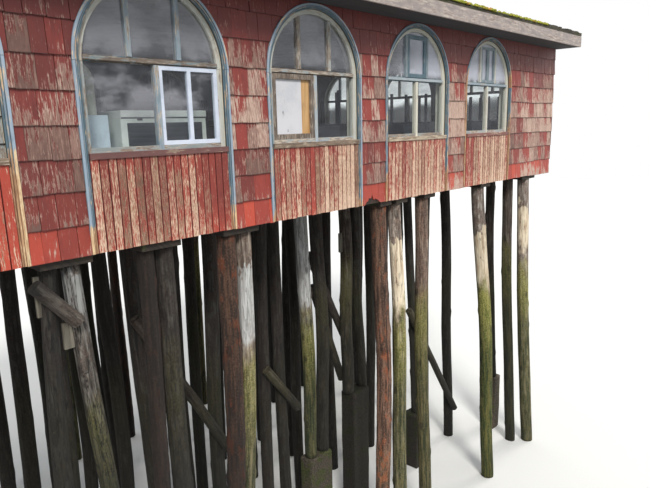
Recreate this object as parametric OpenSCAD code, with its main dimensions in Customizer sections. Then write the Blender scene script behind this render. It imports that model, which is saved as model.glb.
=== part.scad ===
/* [Walls] */
// Width of a window bay over its casing
bay_w = 1500; // [1300:10:1650]
// Number of window bays in a long wall
long_bays = 5; // [4:1:6]
// Wall between two bays of a long wall
long_pier = 480; // [300:10:700]
// Wall beyond the last bay of a long wall
long_end = 1760; // [1200:10:2200]
// Number of window bays in an end wall
short_bays = 3; // [3:1:4]
// Wall between two bays of an end wall
short_pier = 350; // [250:10:500]
// Wall beyond the last bay of an end wall
short_end = 700; // [500:10:1000]
// Thickness of the framed wall
wall_t = 170; // [140:5:220]

/* [Windows] */
// Width of the casing that frames each bay
casing_w = 60; // [40:5:80]
// How far the casing stands out of the wall
casing_t = 30; // [20:5:45]
// Height of the window opening's bottom above the wall's bottom edge
sill_up = 800; // [650:5:880]
// Height of the arch springing above the wall's bottom edge
spring_up = 1540; // [1400:10:1700]
// How far the window frame sits behind the wall's face
frame_back = 20; // [10:5:40]
// Depth of the window frame
frame_t = 60; // [45:5:75]
// Face width of the frame's outer ring and upright bars
bar_w = 45; // [30:5:60]
// Height of the frame's bottom rail
rail_h = 60; // [40:5:80]
// Height of the transom under the arch
transom_h = 55; // [40:5:70]
// Distance of each upper bar from the window's middle
upper_bar_x = 240; // [200:5:270]
// Thickness of the glass
glass_t = 5; // [4:1:8]
// How far the sill's nose stands out of the wall
nose_out = 35; // [20:5:50]
// Height of the sill's nose
nose_h = 50; // [35:5:60]
// How far the sill's nose laps up over the bottom rail
nose_lap = 20; // [10:5:30]
// Thickness of the boards below each window
apron_t = 20; // [15:1:28]

/* [Door] */
// Width of the door leaf
door_w = 900; // [800:10:1000]
// Height of the door leaf
door_h = 1900; // [1800:10:1950]
// Thickness of the door leaf
door_t = 45; // [35:5:60]
// Face width of the door frame
door_frame_w = 55; // [40:5:70]

/* [Roof] */
// Pitch of the roof in degrees
roof_pitch = 18; // [14:1:24]
// Overhang at the eaves
eave_out = 450; // [300:10:600]
// Overhang at the gables
verge_out = 90; // [60:5:150]
// Thickness of the roof boards with their shingles
roof_t = 50; // [40:5:80]
// How far the roof laps over the fascia
drip = 20; // [10:5:40]
// Height of the fascia
fascia_h = 180; // [140:5:220]
// Thickness of the fascia and the verge boards
fascia_t = 28; // [20:1:35]
// Gap between an arch's top and the soffit
arch_gap = 10; // [5:5:40]
// Thickness of the soffit boards
soffit_t = 20; // [15:1:25]
// Height of the verge boards
verge_h = 150; // [120:5:180]
// Width of each ridge board
ridge_w = 200; // [150:10:260]
// Thickness of the ridge boards
ridge_t = 25; // [18:1:35]

/* [Floor] */
// Height of the wall's bottom edge above the lowest pole foot
stilt_h = 5600; // [4800:50:6200]
// Height of the floor joists
joist_h = 200; // [150:10:240]
// Width of the floor joists
joist_w = 70; // [50:5:100]
// Distance between two joists
joist_pitch = 600; // [450:10:700]
// Thickness of the floor boards
floor_t = 30; // [20:2:40]
// Thickness of the ceiling boards
ceiling_t = 20; // [15:1:30]
// Height of the ceiling's underside above the soffit
ceiling_up = 40; // [20:5:100]
// Height of the girders that carry the joists
girder_h = 140; // [120:5:200]
// Width of the girders
girder_w = 240; // [200:10:280]
// How far the girders stop inside the end walls
girder_in = 200; // [170:10:300]
// Thickness of the planks on the outer pole heads
plank_t = 70; // [50:5:90]
// How far the planks stop behind the wall's face
plank_in = 20; // [10:5:60]

/* [Poles] */
// Number of sides of the front and back poles
pole_sides = 12; // [8:1:14]
// Number of rings along the front poles
pole_rings = 9; // [6:1:10]
// Number of sides of the inner poles
inner_sides = 8; // [6:1:10]
// Number of rings along the inner poles
inner_rings = 6; // [4:1:7]
// Unevenness of a pole's girth as a share of its radius
pole_rough = 0.06; // [0.02:0.01:0.09]
// How far a pole bows out of its straight line
pole_bow = 35; // [10:5:45]
// Distance between two inner poles of one row
pole_pitch = 1050; // [950:10:1200]
// Diameter of an inner pole at its head
inner_d = 175; // [140:5:200]
// Diameter of the diagonal braces
brace_d = 130; // [90:5:160]
// How deep a brace is notched over a pole
brace_notch = 12; // [8:1:20]

/* [Furniture] */
// Height of the tables
table_h = 760; // [700:10:800]
// Length of the tables along the house
table_l = 1100; // [900:10:1200]
// Width of the tables
table_w = 700; // [600:10:800]
// Height of a chair's seat above its feet
seat_h = 440; // [400:5:480]
// Width of a chair's seat
seat_w = 400; // [360:5:440]
// Height of the chest freezer
freezer_h = 940; // [800:10:1000]
// Diameter of the air duct
duct_d = 130; // [100:5:160]

/* [Hidden] */
$fn = 96;

// Size of the house, worked out from its bays
house_l = 2 * long_end + long_bays * bay_w + (long_bays - 1) * long_pier;
house_d = 2 * short_end + short_bays * bay_w + (short_bays - 1) * short_pier;
half_l = house_l / 2;
half_d = house_d / 2;
in_l = half_l - wall_t;
in_d = half_d - wall_t;

// Middles of the bays along each wall, from left to right seen from outside
long_x = [for (i = [0 : long_bays - 1]) long_end + bay_w / 2 + i * (bay_w + long_pier) - half_l];
short_x = [for (i = [0 : short_bays - 1]) short_end + bay_w / 2 + i * (bay_w + short_pier) - half_d];

// The middle bay of the left wall holds the door
door_bay = 1;
left_x = [for (i = [0 : short_bays - 1]) if (i != door_bay) short_x[i]];

// Levels
wall_z = stilt_h;
sill_z = wall_z + sill_up;
spring_z = wall_z + spring_up;
open_r = bay_w / 2 - casing_w;
light_r = open_r - bar_w;
transom_up = 5;
transom_z = spring_z + transom_up;
soffit_z = spring_z + bay_w / 2 + arch_gap;
fascia_top = soffit_z + fascia_h;
floor_top = wall_z + joist_h + floor_t;
girder_z = wall_z - girder_h;
plank_z = wall_z - plank_t;
ceiling_z = soffit_z + ceiling_up;
eave_y = half_d + eave_out;
roof_half_l = half_l + verge_out;
wall_top = roof_under(half_d);
roof_tv = roof_t / cos(roof_pitch);
cut = 1;

// Underside of the roof boards at a distance from the ridge line
function roof_under(y) = fascia_top + (eave_y - y) * tan(roof_pitch);

// Rows of poles: distance of each row behind the front wall's face
row_depth = [150, 1250, 2350, 3300, 4250, 5350];
back_depth = 150;
girder_rows = [for (i = [1 : 5]) row_depth[i]];

// Front poles: distance from the right corner, distance behind the front face,
// diameter at the head, diameter at the foot, foot's shift along and across the house,
// and the level of the foot where it stands on a block
front_poles = [
    [760, 150, 215, 235, 400, -170],
    [980, 350, 175, 190, 380, -120],
    [780, 800, 170, 180, 380, 0, 1200],
    [2500, 150, 215, 230, 430, -170],
    [4160, 150, 190, 205, 160, -60],
    [4840, 150, 185, 215, 150, -60],
    [5190, 150, 200, 210, 70, -20],
    [7500, 150, 160, 180, -210, 0],
    [7720, 150, 190, 200, -200, 0],
    [8440, 170, 180, 200, -40, 0],
    [8640, 150, 150, 165, -50, 0],
    [9325, 150, 150, 185, 390, 0],
    [9520, 150, 120, 200, -80, 0],
    [10450, 150, 180, 195, -60, 20],
    [11400, 150, 170, 190, 40, -30],
    [12350, 150, 190, 205, -50, -20]
];

// Planks on the front pole heads: distance of the middle from the right corner, width
front_planks = [
    [815, 530], [2460, 320], [4130, 280], [4820, 260], [5180, 240],
    [7610, 460], [8530, 400], [9395, 430], [10450, 280], [11400, 280], [12350, 280]
];

// Second row, in the same order
second_poles = [
    [1740, 1250, 180, 190, 450, 60],
    [2970, 1250, 150, 155, 330, 0, 1100],
    [4400, 1250, 170, 175, 150, 0, 2250],
    [4650, 1250, 185, 190, 50, 0, 2250],
    [5285, 1250, 205, 195, 45, 0, 1500],
    [5590, 1250, 195, 190, 80, 0, 1500],
    [6110, 1250, 165, 175, 80, 0],
    [6340, 1250, 165, 170, -50, 0],
    [7170, 1250, 185, 195, -60, 30],
    [8250, 1250, 180, 190, 40, -30],
    [9100, 1250, 170, 185, -40, 20],
    [10050, 1250, 180, 190, 60, 0],
    [11000, 1250, 170, 185, -50, 30],
    [12000, 1250, 180, 195, 40, -20]
];

// Blocks under some poles: distance of the middle from the right corner, distance
// behind the front face, size along and across the house, level of the top
blocks = [
    [360, 800, 260, 240, 1200],
    [2630, 1250, 380, 340, 1100],
    [4430, 1250, 400, 280, 2250],
    [5390, 1250, 480, 250, 1500]
];

// Window of the front wall that each odd piece belongs to
slider_bay = 1;
panel_bay = 2;
sash_bay = 3;
pair_bay = 4;

// Odd sashes and the sliding window
slider_bar = 38;
slider_t = 40;
sash_bar = 50;
pair_bar = 40;
rough_bar = 55;
sash_t = 50;
sash_gap = 4;
panel_t = 12;
lower_h = transom_z - sill_z - rail_h;

// Places of the walls: each child is drawn with X along the wall and Y into the house
module on_front() { translate([0, -half_d, 0]) children(); }
module on_back() { rotate(180) translate([0, -half_d, 0]) children(); }
module on_right() { rotate(90) translate([0, -half_l, 0]) children(); }
module on_left() { rotate(-90) translate([0, -half_l, 0]) children(); }

// Stands a flat outline up along the wall, from a depth behind its face
module stand(depth, thick) {
    translate([0, depth + thick, 0]) rotate([90, 0, 0]) linear_extrude(thick) children();
}

// Arch outline with its round head on the springing line
module arch_2d(r, bottom) {
    translate([0, spring_z]) circle(r);
    translate([-r, bottom]) square([2 * r, spring_z - bottom]);
}

// Glass area of a window: the ring's inside without the bars
module lights_2d() {
    difference() {
        arch_2d(light_r, sill_z + rail_h);
        translate([-light_r, transom_z]) square([2 * light_r, transom_h]);
        for (x = [-upper_bar_x, upper_bar_x])
            translate([x - bar_w / 2, transom_z]) square([bar_w, light_r]);
        translate([-bar_w / 2, sill_z]) square([bar_w, transom_z - sill_z]);
    }
}

// Areas that pick out single lights
module upper_middle_2d() {
    translate([-upper_bar_x, spring_z + transom_h]) square([2 * upper_bar_x, light_r]);
}
module lower_left_2d() {
    translate([-light_r, sill_z]) square([light_r, transom_z - sill_z]);
}
module lower_right_2d() {
    translate([0, sill_z]) square([light_r, transom_z - sill_z]);
}

// Frame of a sash: what is left of a light when its inside is cut back by the bar
module ring_2d(x, z, w, h, bar) {
    translate([x, z]) difference() {
        square([w, h]);
        translate([bar, bar]) square([w - 2 * bar, h - 2 * bar]);
    }
}

upper_w = 2 * upper_bar_x - bar_w;
upper_z = transom_z + transom_h;
upper_h = sqrt(pow(light_r, 2) - pow(upper_w / 2, 2)) - transom_up - transom_h - sash_gap;
lower_w = light_r - bar_w / 2;

module sash_2d() { ring_2d(-upper_w / 2, upper_z, upper_w, upper_h, sash_bar); }
module pair_2d() {
    for (x = [-upper_w / 2, 0]) ring_2d(x, upper_z, upper_w / 2, upper_h, pair_bar);
}
module slider_2d() {
    translate([bar_w / 2, sill_z + rail_h]) difference() {
        square([lower_w, lower_h]);
        for (x = [slider_bar, (lower_w + slider_bar) / 2])
            translate([x, slider_bar])
                square([(lower_w - 3 * slider_bar) / 2, lower_h - 2 * slider_bar]);
    }
}
module rough_2d() { ring_2d(-light_r, sill_z + rail_h, lower_w, lower_h, rough_bar); }

// Walls
module long_wall() {
    difference() {
        translate([-in_l, 0, wall_z]) cube([2 * in_l, wall_t, wall_top - wall_z]);
        for (x = long_x)
            translate([x, 0, 0]) stand(-cut, wall_t + 2 * cut) arch_2d(open_r, sill_z);
    }
}
module end_plate() {
    stand(0, wall_t) polygon([
        [-half_d, wall_z], [half_d, wall_z], [half_d, wall_top], [0, roof_under(0)], [-half_d, wall_top]
    ]);
}
door_open_w = door_w + 2 * door_frame_w;
door_open_h = door_h + door_frame_w;
module end_wall(places) {
    difference() {
        end_plate();
        for (x = places)
            translate([x, 0, 0]) stand(-cut, wall_t + 2 * cut) arch_2d(open_r, sill_z);
        children();
    }
}
module front_wall() { color([0.62, 0.27, 0.23]) on_front() long_wall(); }
module back_wall() { color([0.62, 0.27, 0.23]) on_back() long_wall(); }
module right_wall() { color([0.60, 0.26, 0.22]) on_right() end_wall(short_x); }
module left_wall() {
    color([0.60, 0.26, 0.22]) on_left() end_wall(left_x)
        translate([-door_open_w / 2, -cut, floor_top]) cube([door_open_w, wall_t + 2 * cut, door_open_h]);
}

// Boards below the windows
module apron() {
    translate([-open_r, -apron_t, wall_z]) cube([2 * open_r, apron_t, sill_z - nose_h + nose_lap - wall_z]);
}
module apron_boards() {
    color([0.66, 0.42, 0.36]) {
        on_front() for (x = long_x) translate([x, 0, 0]) apron();
        on_back() for (x = long_x) translate([x, 0, 0]) apron();
        on_right() for (x = short_x) translate([x, 0, 0]) apron();
        on_left() for (x = left_x) translate([x, 0, 0]) apron();
    }
}

// Casings run from the arch down to the wall's bottom edge
module casing() {
    stand(-casing_t, casing_t) difference() {
        arch_2d(bay_w / 2, wall_z);
        arch_2d(open_r, wall_z - cut);
    }
}
module front_casings() {
    color([0.47, 0.60, 0.68]) on_front() for (x = long_x) translate([x, 0, 0]) casing();
}
module back_casings() {
    color([0.47, 0.60, 0.68]) on_back() for (x = long_x) translate([x, 0, 0]) casing();
}
module end_casings() {
    color([0.47, 0.60, 0.68]) {
        on_right() for (x = short_x) translate([x, 0, 0]) casing();
        on_left() for (x = left_x) translate([x, 0, 0]) casing();
    }
}

// Window frame with its ring, transom, upright bars, bottom rail and sill nose
module window_frame() {
    stand(frame_back, frame_t) difference() {
        arch_2d(open_r, sill_z);
        lights_2d();
    }
    translate([-open_r, -nose_out, sill_z - nose_h + nose_lap]) cube([2 * open_r, nose_out, nose_h]);
    translate([-open_r, -cut, sill_z]) cube([2 * open_r, frame_back + 2 * cut, nose_lap]);
}
module front_window_frames() {
    color([0.55, 0.63, 0.66]) on_front() for (x = long_x) translate([x, 0, 0]) window_frame();
}
module back_window_frames() {
    color([0.55, 0.63, 0.66]) on_back() for (x = long_x) translate([x, 0, 0]) window_frame();
}
module end_window_frames() {
    color([0.55, 0.63, 0.66]) {
        on_right() for (x = short_x) translate([x, 0, 0]) window_frame();
        on_left() for (x = left_x) translate([x, 0, 0]) window_frame();
    }
}

// Glass panes fill what the frames and the odd sashes leave open
glass_back = frame_back + (frame_t - glass_t) / 2;
module panes() { stand(glass_back, glass_t) difference() { lights_2d(); children(); } }
module window_glass() {
    color([0.60, 0.68, 0.72, 0.45]) {
        on_front() for (i = [0 : long_bays - 1]) translate([long_x[i], 0, 0])
            panes() {
                if (i == slider_bay) slider_2d();
                if (i == panel_bay) lower_left_2d();
                if (i == sash_bay) sash_2d();
                if (i == pair_bay) pair_2d();
            }
        on_back() for (x = long_x) translate([x, 0, 0]) panes();
        on_right() for (x = short_x) translate([x, 0, 0]) panes();
        on_left() for (x = left_x) translate([x, 0, 0]) panes();
    }
}

// Odd pieces that replaced the old glazing
module sliding_window() {
    color([0.90, 0.91, 0.93]) on_front() translate([long_x[slider_bay], 0, 0])
        stand(frame_back + (frame_t - slider_t) / 2, slider_t) slider_2d();
}
module wooden_sashes() {
    color([0.45, 0.56, 0.62]) on_front() {
        translate([long_x[sash_bay], 0, 0]) stand(frame_back + (frame_t - sash_t) / 2, sash_t) sash_2d();
        translate([long_x[pair_bay], 0, 0]) stand(frame_back + (frame_t - sash_t) / 2, sash_t) pair_2d();
        translate([long_x[panel_bay], 0, 0]) stand(frame_back + (frame_t - sash_t) / 2, sash_t) rough_2d();
    }
}
module blank_panel() {
    color([0.82, 0.84, 0.86]) on_front() translate([long_x[panel_bay], 0, 0])
        stand(frame_back + frame_t / 2, panel_t)
            translate([rough_bar - light_r, sill_z + rail_h + rough_bar])
                square([lower_w - 2 * rough_bar, lower_h - 2 * rough_bar]);
}

// Door in the left wall
module door_leaf() {
    color([0.45, 0.28, 0.22]) on_left()
        translate([-door_w / 2, wall_t / 2 - door_t, floor_top]) cube([door_w, door_t, door_h]);
}
module door_frame() {
    color([0.47, 0.60, 0.68]) on_left() translate([0, -casing_t, floor_top]) difference() {
        translate([-door_open_w / 2, 0, 0]) cube([door_open_w, wall_t + casing_t, door_open_h]);
        translate([-door_w / 2, -cut, -cut]) cube([door_w, wall_t + casing_t + 2 * cut, door_h + cut]);
    }
}

// Floor and ceiling
joists = floor((2 * in_l - joist_w) / joist_pitch);
joist_step = (2 * in_l - joist_w) / joists;
module floor() {
    color([0.50, 0.40, 0.30]) translate([-in_l, -in_d, floor_top - floor_t])
        cube([2 * in_l, 2 * in_d, floor_t]);
}
module floor_joists() {
    color([0.40, 0.33, 0.27]) for (i = [0 : joists])
        translate([-in_l + i * joist_step, -in_d, wall_z]) cube([joist_w, 2 * in_d, joist_h]);
}
module girders() {
    color([0.33, 0.28, 0.23]) for (d = girder_rows)
        translate([girder_in - half_l, d - half_d - girder_w / 2, girder_z])
            cube([house_l - 2 * girder_in, girder_w, girder_h]);
}
module ceiling() {
    color([0.75, 0.72, 0.66]) translate([-in_l, -in_d, ceiling_z]) cube([2 * in_l, 2 * in_d, ceiling_t]);
}

// Planks between the outer pole heads and the nearest girder
front_plank_l = girder_rows[0] - girder_w / 2 - plank_in;
back_plank_l = house_d - girder_rows[4] - girder_w / 2 - plank_in;
back_plank_w = 280;
module pole_head_planks() {
    color([0.30, 0.25, 0.21]) {
        for (p = front_planks)
            translate([half_l - p[0] - p[1] / 2, plank_in - half_d, plank_z])
                cube([p[1], front_plank_l, plank_t]);
        for (p = back_poles())
            translate([half_l - p[0] - back_plank_w / 2, half_d - plank_in - back_plank_l, plank_z])
                cube([back_plank_w, back_plank_l, plank_t]);
    }
}

// Roof
module roof_slope() {
    out = eave_y + drip;
    rotate([90, 0, 90]) translate([0, 0, -roof_half_l]) linear_extrude(2 * roof_half_l) polygon([
        [-out, roof_under(out)], [0, roof_under(0)],
        [0, roof_under(0) + roof_tv], [-out, roof_under(out) + roof_tv]
    ]);
}
module front_roof() { color([0.42, 0.42, 0.34]) roof_slope(); }
module back_roof() { color([0.42, 0.42, 0.34]) mirror([0, 1, 0]) roof_slope(); }
module ridge_cap() {
    side_z = roof_under(ridge_w) + roof_tv;
    top_z = roof_under(0) + roof_tv;
    color([0.38, 0.36, 0.31]) rotate([90, 0, 90]) translate([0, 0, -roof_half_l])
        linear_extrude(2 * roof_half_l) polygon([
            [-ridge_w, side_z], [0, top_z], [ridge_w, side_z],
            [ridge_w, side_z + ridge_t], [0, top_z + ridge_t], [-ridge_w, side_z + ridge_t]
        ]);
}
module fascias() {
    color([0.62, 0.58, 0.53]) for (y = [-eave_y, eave_y - fascia_t])
        translate([-roof_half_l, y, soffit_z]) cube([2 * roof_half_l, fascia_t, fascia_h]);
}
module soffits() {
    color([0.30, 0.29, 0.28]) for (y = [fascia_t - eave_y, half_d])
        translate([-roof_half_l, y, soffit_z]) cube([2 * roof_half_l, eave_out - fascia_t, soffit_t]);
}
module verge_board() {
    y_out = eave_y - fascia_t;
    low = soffit_z + soffit_t;
    rotate([90, 0, 90]) linear_extrude(fascia_t) polygon([
        [-y_out, low], [-half_d, low], [-half_d, wall_top - verge_h], [0, roof_under(0) - verge_h],
        [half_d, wall_top - verge_h], [half_d, low], [y_out, low],
        [y_out, roof_under(y_out)], [0, roof_under(0)], [-y_out, roof_under(y_out)]
    ]);
}
module verge_soffit() {
    rotate([90, 0, 90]) linear_extrude(verge_out - fascia_t) polygon([
        [-half_d, wall_top - verge_h], [0, roof_under(0) - verge_h], [half_d, wall_top - verge_h],
        [half_d, wall_top - verge_h + soffit_t], [0, roof_under(0) - verge_h + soffit_t],
        [-half_d, wall_top - verge_h + soffit_t]
    ]);
}
module verge_boards() {
    color([0.60, 0.56, 0.51]) for (side = [0, 1]) mirror([side, 0, 0]) {
        translate([roof_half_l - fascia_t, 0, 0]) verge_board();
        translate([half_l, 0, 0]) verge_soffit();
    }
}

// A repeatable number from 0 to 1 for a seed
function pick(seed) = let (s = sin(seed * 127.1 + 311.7) * 437.585) s - floor(s);

// Shift of a crooked pole's middle from its straight line at a share t of its height.
// It changes slowly with the pole's place, so two poles that stand close bow alike.
bow_turn = 0.13;
function bow(t, place) = let (a = bow_turn * place) pole_bow * sin(180 * t) * [
    cos(a) + 0.5 * sin(360 * t + 2 * a), sin(a) + 0.5 * cos(360 * t + a)
];

// Radius of a pole around its girth and along its height
function girth(r, t, a, seed) = r * (1
    + pole_rough * 0.5 * sin(2 * a + 360 * pick(seed + 7))
    + pole_rough * 0.5 * sin(3 * a + 500 * t + 360 * pick(seed + 9)));

// Level of a pole's foot
function foot_level(p) = len(p) > 6 ? p[6] : 0;

// Middle of a pole at a level, worked out from its head, foot and bow
function pole_mid(p, head_z, z) =
    let (t = (z - foot_level(p)) / (head_z - foot_level(p)), b = bow(t, p[0]))
    [half_l - p[0] + p[4] * (1 - t) + b[0], p[1] - half_d + p[5] * (1 - t) + b[1], z];

// Pole swept up through its rings, with flat ends
module pole(p, head_z, sides, rings, seed) {
    foot_z = foot_level(p);
    pts = [for (k = [0 : rings - 1], s = [0 : sides - 1])
        let (t = k / (rings - 1), z = foot_z + (head_z - foot_z) * t, a = 360 * s / sides,
            m = pole_mid(p, head_z, z), r = girth((p[3] + (p[2] - p[3]) * t) / 2, t, a, seed))
        [m[0] + r * cos(a), m[1] + r * sin(a), z]];
    walls = [for (k = [0 : rings - 2], s = [0 : sides - 1])
        let (n = (s + 1) % sides, a = k * sides + s, b = k * sides + n)
        each [[a, a + sides, b], [b, a + sides, b + sides]]];
    foot = [for (s = [0 : sides - 1]) s];
    head = [for (s = [sides - 1 : -1 : 0]) (rings - 1) * sides + s];
    polyhedron(pts, concat(walls, [foot, head]));
}

// Inner and back rows: places that follow the pole pitch with small shifts. row_shift moves whole
// rows away from the right end, counted from the front row.
inner_start = 680;
inner_count = floor((house_l - 2 * inner_start) / pole_pitch);
row_shift = [0, 0, 0, 190, 220, 0, 0];
place_shift = 80;
depth_shift = 20;
foot_swell = 15;
size_shift = 15;
lean_along = 90;
lean_across = 50;
back_lean = 60;
function jitter(seed, size) = size * (2 * pick(seed) - 1);
function inner_pole(row, i, depth, lean) = [
    inner_start + row_shift[row] + i * pole_pitch + jitter(row * 31 + i, place_shift), depth,
    inner_d + jitter(row + i * 5, size_shift), inner_d + foot_swell + jitter(row + i * 7, size_shift),
    jitter(row * 3 + i * 11, lean_along), lean + jitter(row * 5 + i * 13, lean_across)
];
function inner_poles(row) = [for (i = [0 : inner_count])
    inner_pole(row, i, row_depth[row] + jitter(row * 17 + i * 3, depth_shift), 0)];
function back_poles() = [for (i = [0 : inner_count])
    inner_pole(len(row_depth), i, house_d - back_depth, back_lean)];

module pole_row(list, head_z, sides, rings, seed) {
    for (i = [0 : len(list) - 1]) pole(list[i], head_z, sides, rings, seed + i);
}
module inner_row(row) {
    pole_row(inner_poles(row), girder_z, inner_sides, inner_rings, row_seed * (row + 1));
}

// Each row's girths start from a seed of their own
row_seed = 100;

// The front and the second row: their poles, the level of the heads, sides and rings
outer_rows = [front_poles, second_poles];
outer_heads = [plank_z, girder_z];
outer_sides = [pole_sides, pole_sides - 2];
outer_rings = [pole_rings, pole_rings - 1];
module outer_pole(row, i) {
    pole(outer_rows[row][i], outer_heads[row], outer_sides[row], outer_rings[row], (row + 1) * row_seed + i);
}
module outer_row(row) { for (i = [0 : len(outer_rows[row]) - 1]) outer_pole(row, i); }
module poles_row_1() { color([0.42, 0.38, 0.31]) outer_row(0); }
module poles_row_2() { color([0.38, 0.36, 0.28]) outer_row(1); }
module poles_row_3() { color([0.34, 0.32, 0.26]) inner_row(2); }
module poles_row_4() { color([0.32, 0.30, 0.25]) inner_row(3); }
module poles_row_5() { color([0.32, 0.30, 0.25]) inner_row(4); }
module poles_row_6() { color([0.34, 0.32, 0.26]) inner_row(5); }
module poles_row_7() {
    color([0.40, 0.37, 0.30]) pole_row(back_poles(), plank_z, outer_sides[1], outer_rings[1], 7 * row_seed);
}

// Braces lie against the poles of a row and are notched over them. Each names its row,
// the side it lies on (-1 outer, 1 inner), its poles, the levels where it crosses the
// first two and how far it runs past each of these. A level below 0 is measured down
// from the wall's bottom edge, and the others up from the lowest pole foot.
brace_list = [
    [0, -1, [12, 11], -340, -620, 210, -90],
    [1, -1, [9, 8], -1200, 2600, 180, 180],
    [1, -1, [7, 6], 3200, 2800, 100, 350],
    [1, 1, [4, 3, 2], -980, 3400, 100, 600],
    [1, 1, [4, 3], -1450, 2450, 50, 0],
    [1, -1, [1, 0], 2800, 700, 600, 0]
];
function brace_level(v) = v < 0 ? wall_z + v : v;
function pole_r(p, head_z, z) =
    let (t = (z - foot_level(p)) / (head_z - foot_level(p))) (p[3] + (p[2] - p[3]) * t) / 2;
function brace_point(row, side, i, z) =
    let (p = outer_rows[row][i], head_z = outer_heads[row], m = pole_mid(p, head_z, z))
    [m[0], m[1] + side * (pole_r(p, head_z, z) + brace_d / 2 - brace_notch), z];
module round_bar(a, b, d, over_a, over_b) {
    v = b - a;
    n = norm(v);
    tilt = acos(v[2] / n);
    turn = atan2(v[1], v[0]);
    translate(a) rotate([0, tilt, turn]) translate([0, 0, -over_a]) cylinder(d = d, h = n + over_a + over_b);
}
module brace(row, side, poles, level_a, level_b, over_a, over_b) {
    a = brace_point(row, side, poles[0], brace_level(level_a));
    b = brace_point(row, side, poles[1], brace_level(level_b));
    difference() {
        round_bar(a, b, brace_d, over_a, over_b);
        for (i = poles) outer_pole(row, i);
    }
}

// Short boards let into a pole's flank: row, pole, level of the top, height and width
cleat_t = 30;
cleat_bite = 15;
cleat_list = [[0, 11, -570, 230, 85], [0, 12, -130, 340, 60], [1, 3, -640, 300, 75]];
module cleat(row, i, level, h, w) {
    p = outer_rows[row][i];
    z = brace_level(level);
    m = pole_mid(p, outer_heads[row], z);
    difference() {
        translate([m[0] - pole_r(p, outer_heads[row], z) + cleat_bite - w, m[1] - cleat_t / 2, z - h])
            cube([w, cleat_t, h]);
        outer_pole(row, i);
    }
}
module braces() {
    color([0.30, 0.27, 0.22]) {
        for (b = brace_list) brace(b[0], b[1], b[2], b[3], b[4], b[5], b[6]);
        for (c = cleat_list) cleat(c[0], c[1], c[2], c[3], c[4]);
    }
}

module footing_blocks() {
    color([0.45, 0.45, 0.40]) for (b = blocks)
        translate([half_l - b[0] - b[2] / 2, b[1] - half_d - b[3] / 2, 0]) cube([b[2], b[3], b[4]]);
}

// Kitchen things behind the second window
wall_clear = 90;
kitchen_y = wall_t + wall_clear - half_d;
freezer_w = 900;
freezer_d = 600;
lid_h = 60;
lid_out = 12;
cabinet_w = 320;
cabinet_h = 900;
kitchen_gap = 110;
jamb_gap = 10;
cabinet_x = long_x[slider_bay] - open_r + jamb_gap;
freezer_x = cabinet_x + cabinet_w + kitchen_gap;
module chest_freezer() {
    color([0.90, 0.91, 0.90]) translate([freezer_x, kitchen_y, floor_top]) {
        cube([freezer_w, freezer_d, freezer_h - lid_h]);
        translate([0, -lid_out, freezer_h - lid_h]) cube([freezer_w, freezer_d + lid_out, lid_h]);
    }
}
module kitchen_cabinet() {
    color([0.72, 0.76, 0.80]) translate([cabinet_x, kitchen_y, floor_top])
        cube([cabinet_w, freezer_d, cabinet_h]);
}

// Air duct: up from the cabinet, along behind the wall to the left and up to the ceiling
duct_sides = 16;
duct_r = 120;
duct_up = 1300;
duct_run = 360;
duct_in = 45;
duct_back = 60;
duct_leg = duct_up - duct_r - cabinet_h;
module duct_pipe(h) { cylinder(d = duct_d, h = h, $fn = duct_sides); }
module duct_elbow() {
    rotate_extrude(angle = 90, $fn = duct_sides) translate([duct_r, 0]) circle(d = duct_d, $fn = duct_sides);
}
module air_duct() {
    x = cabinet_x + cabinet_w - duct_in - duct_d / 2;
    y = kitchen_y + duct_back + duct_d / 2;
    color([0.80, 0.80, 0.74]) translate([x, y, floor_top]) {
        translate([0, 0, cabinet_h]) duct_pipe(duct_leg);
        translate([-duct_r, 0, duct_up - duct_r]) rotate([90, 0, 0]) duct_elbow();
        translate([-duct_r, 0, duct_up]) rotate([0, -90, 0]) duct_pipe(duct_run);
        translate([-duct_r - duct_run, 0, duct_up + duct_r]) rotate([90, 180, 0]) duct_elbow();
        translate([-2 * duct_r - duct_run, 0, duct_up + duct_r])
            duct_pipe(ceiling_z - floor_top - duct_up - duct_r);
    }
}

// Tables in two rows with chairs turned over on them
top_t = 30;
leg_w = 50;
table_in = 420;
table_rows = [table_in - half_d, -table_w / 2];
table_shift = 800;
table_x = [for (i = [panel_bay : pair_bay]) long_x[i] + table_shift];
module table() {
    translate([-table_l / 2, 0, table_h - top_t]) cube([table_l, table_w, top_t]);
    for (x = [-table_l / 2, table_l / 2 - leg_w], y = [0, table_w - leg_w])
        translate([x, y, 0]) cube([leg_w, leg_w, table_h - top_t]);
}
module dining_tables() {
    color([0.16, 0.18, 0.20]) for (x = table_x, y = table_rows) translate([x, y, floor_top]) table();
}

seat_t = 25;
chair_leg = 34;
back_h = 430;
chair_in = 30;
slat_h = 70;
slat_t = 20;
middle_slat = 240;
module chair() {
    cube([seat_w, seat_w, seat_t]);
    for (x = [0, seat_w - chair_leg], y = [0, seat_w - chair_leg])
        translate([x, y, 0]) cube([chair_leg, chair_leg, seat_h]);
    for (x = [0, seat_w - chair_leg])
        translate([x, -chair_leg, -back_h]) cube([chair_leg, chair_leg, back_h + seat_t]);
    for (z = [-back_h, -middle_slat])
        translate([0, -chair_leg, z]) cube([seat_w, slat_t, slat_h]);
}
module upturned_chairs() {
    color([0.18, 0.16, 0.14]) for (x = table_x, y = table_rows, side = [0, 1])
        translate([x, y + table_w / 2, floor_top + table_h]) rotate(180 * side)
            translate([chair_in, -table_w / 2, 0]) chair();
}

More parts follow.
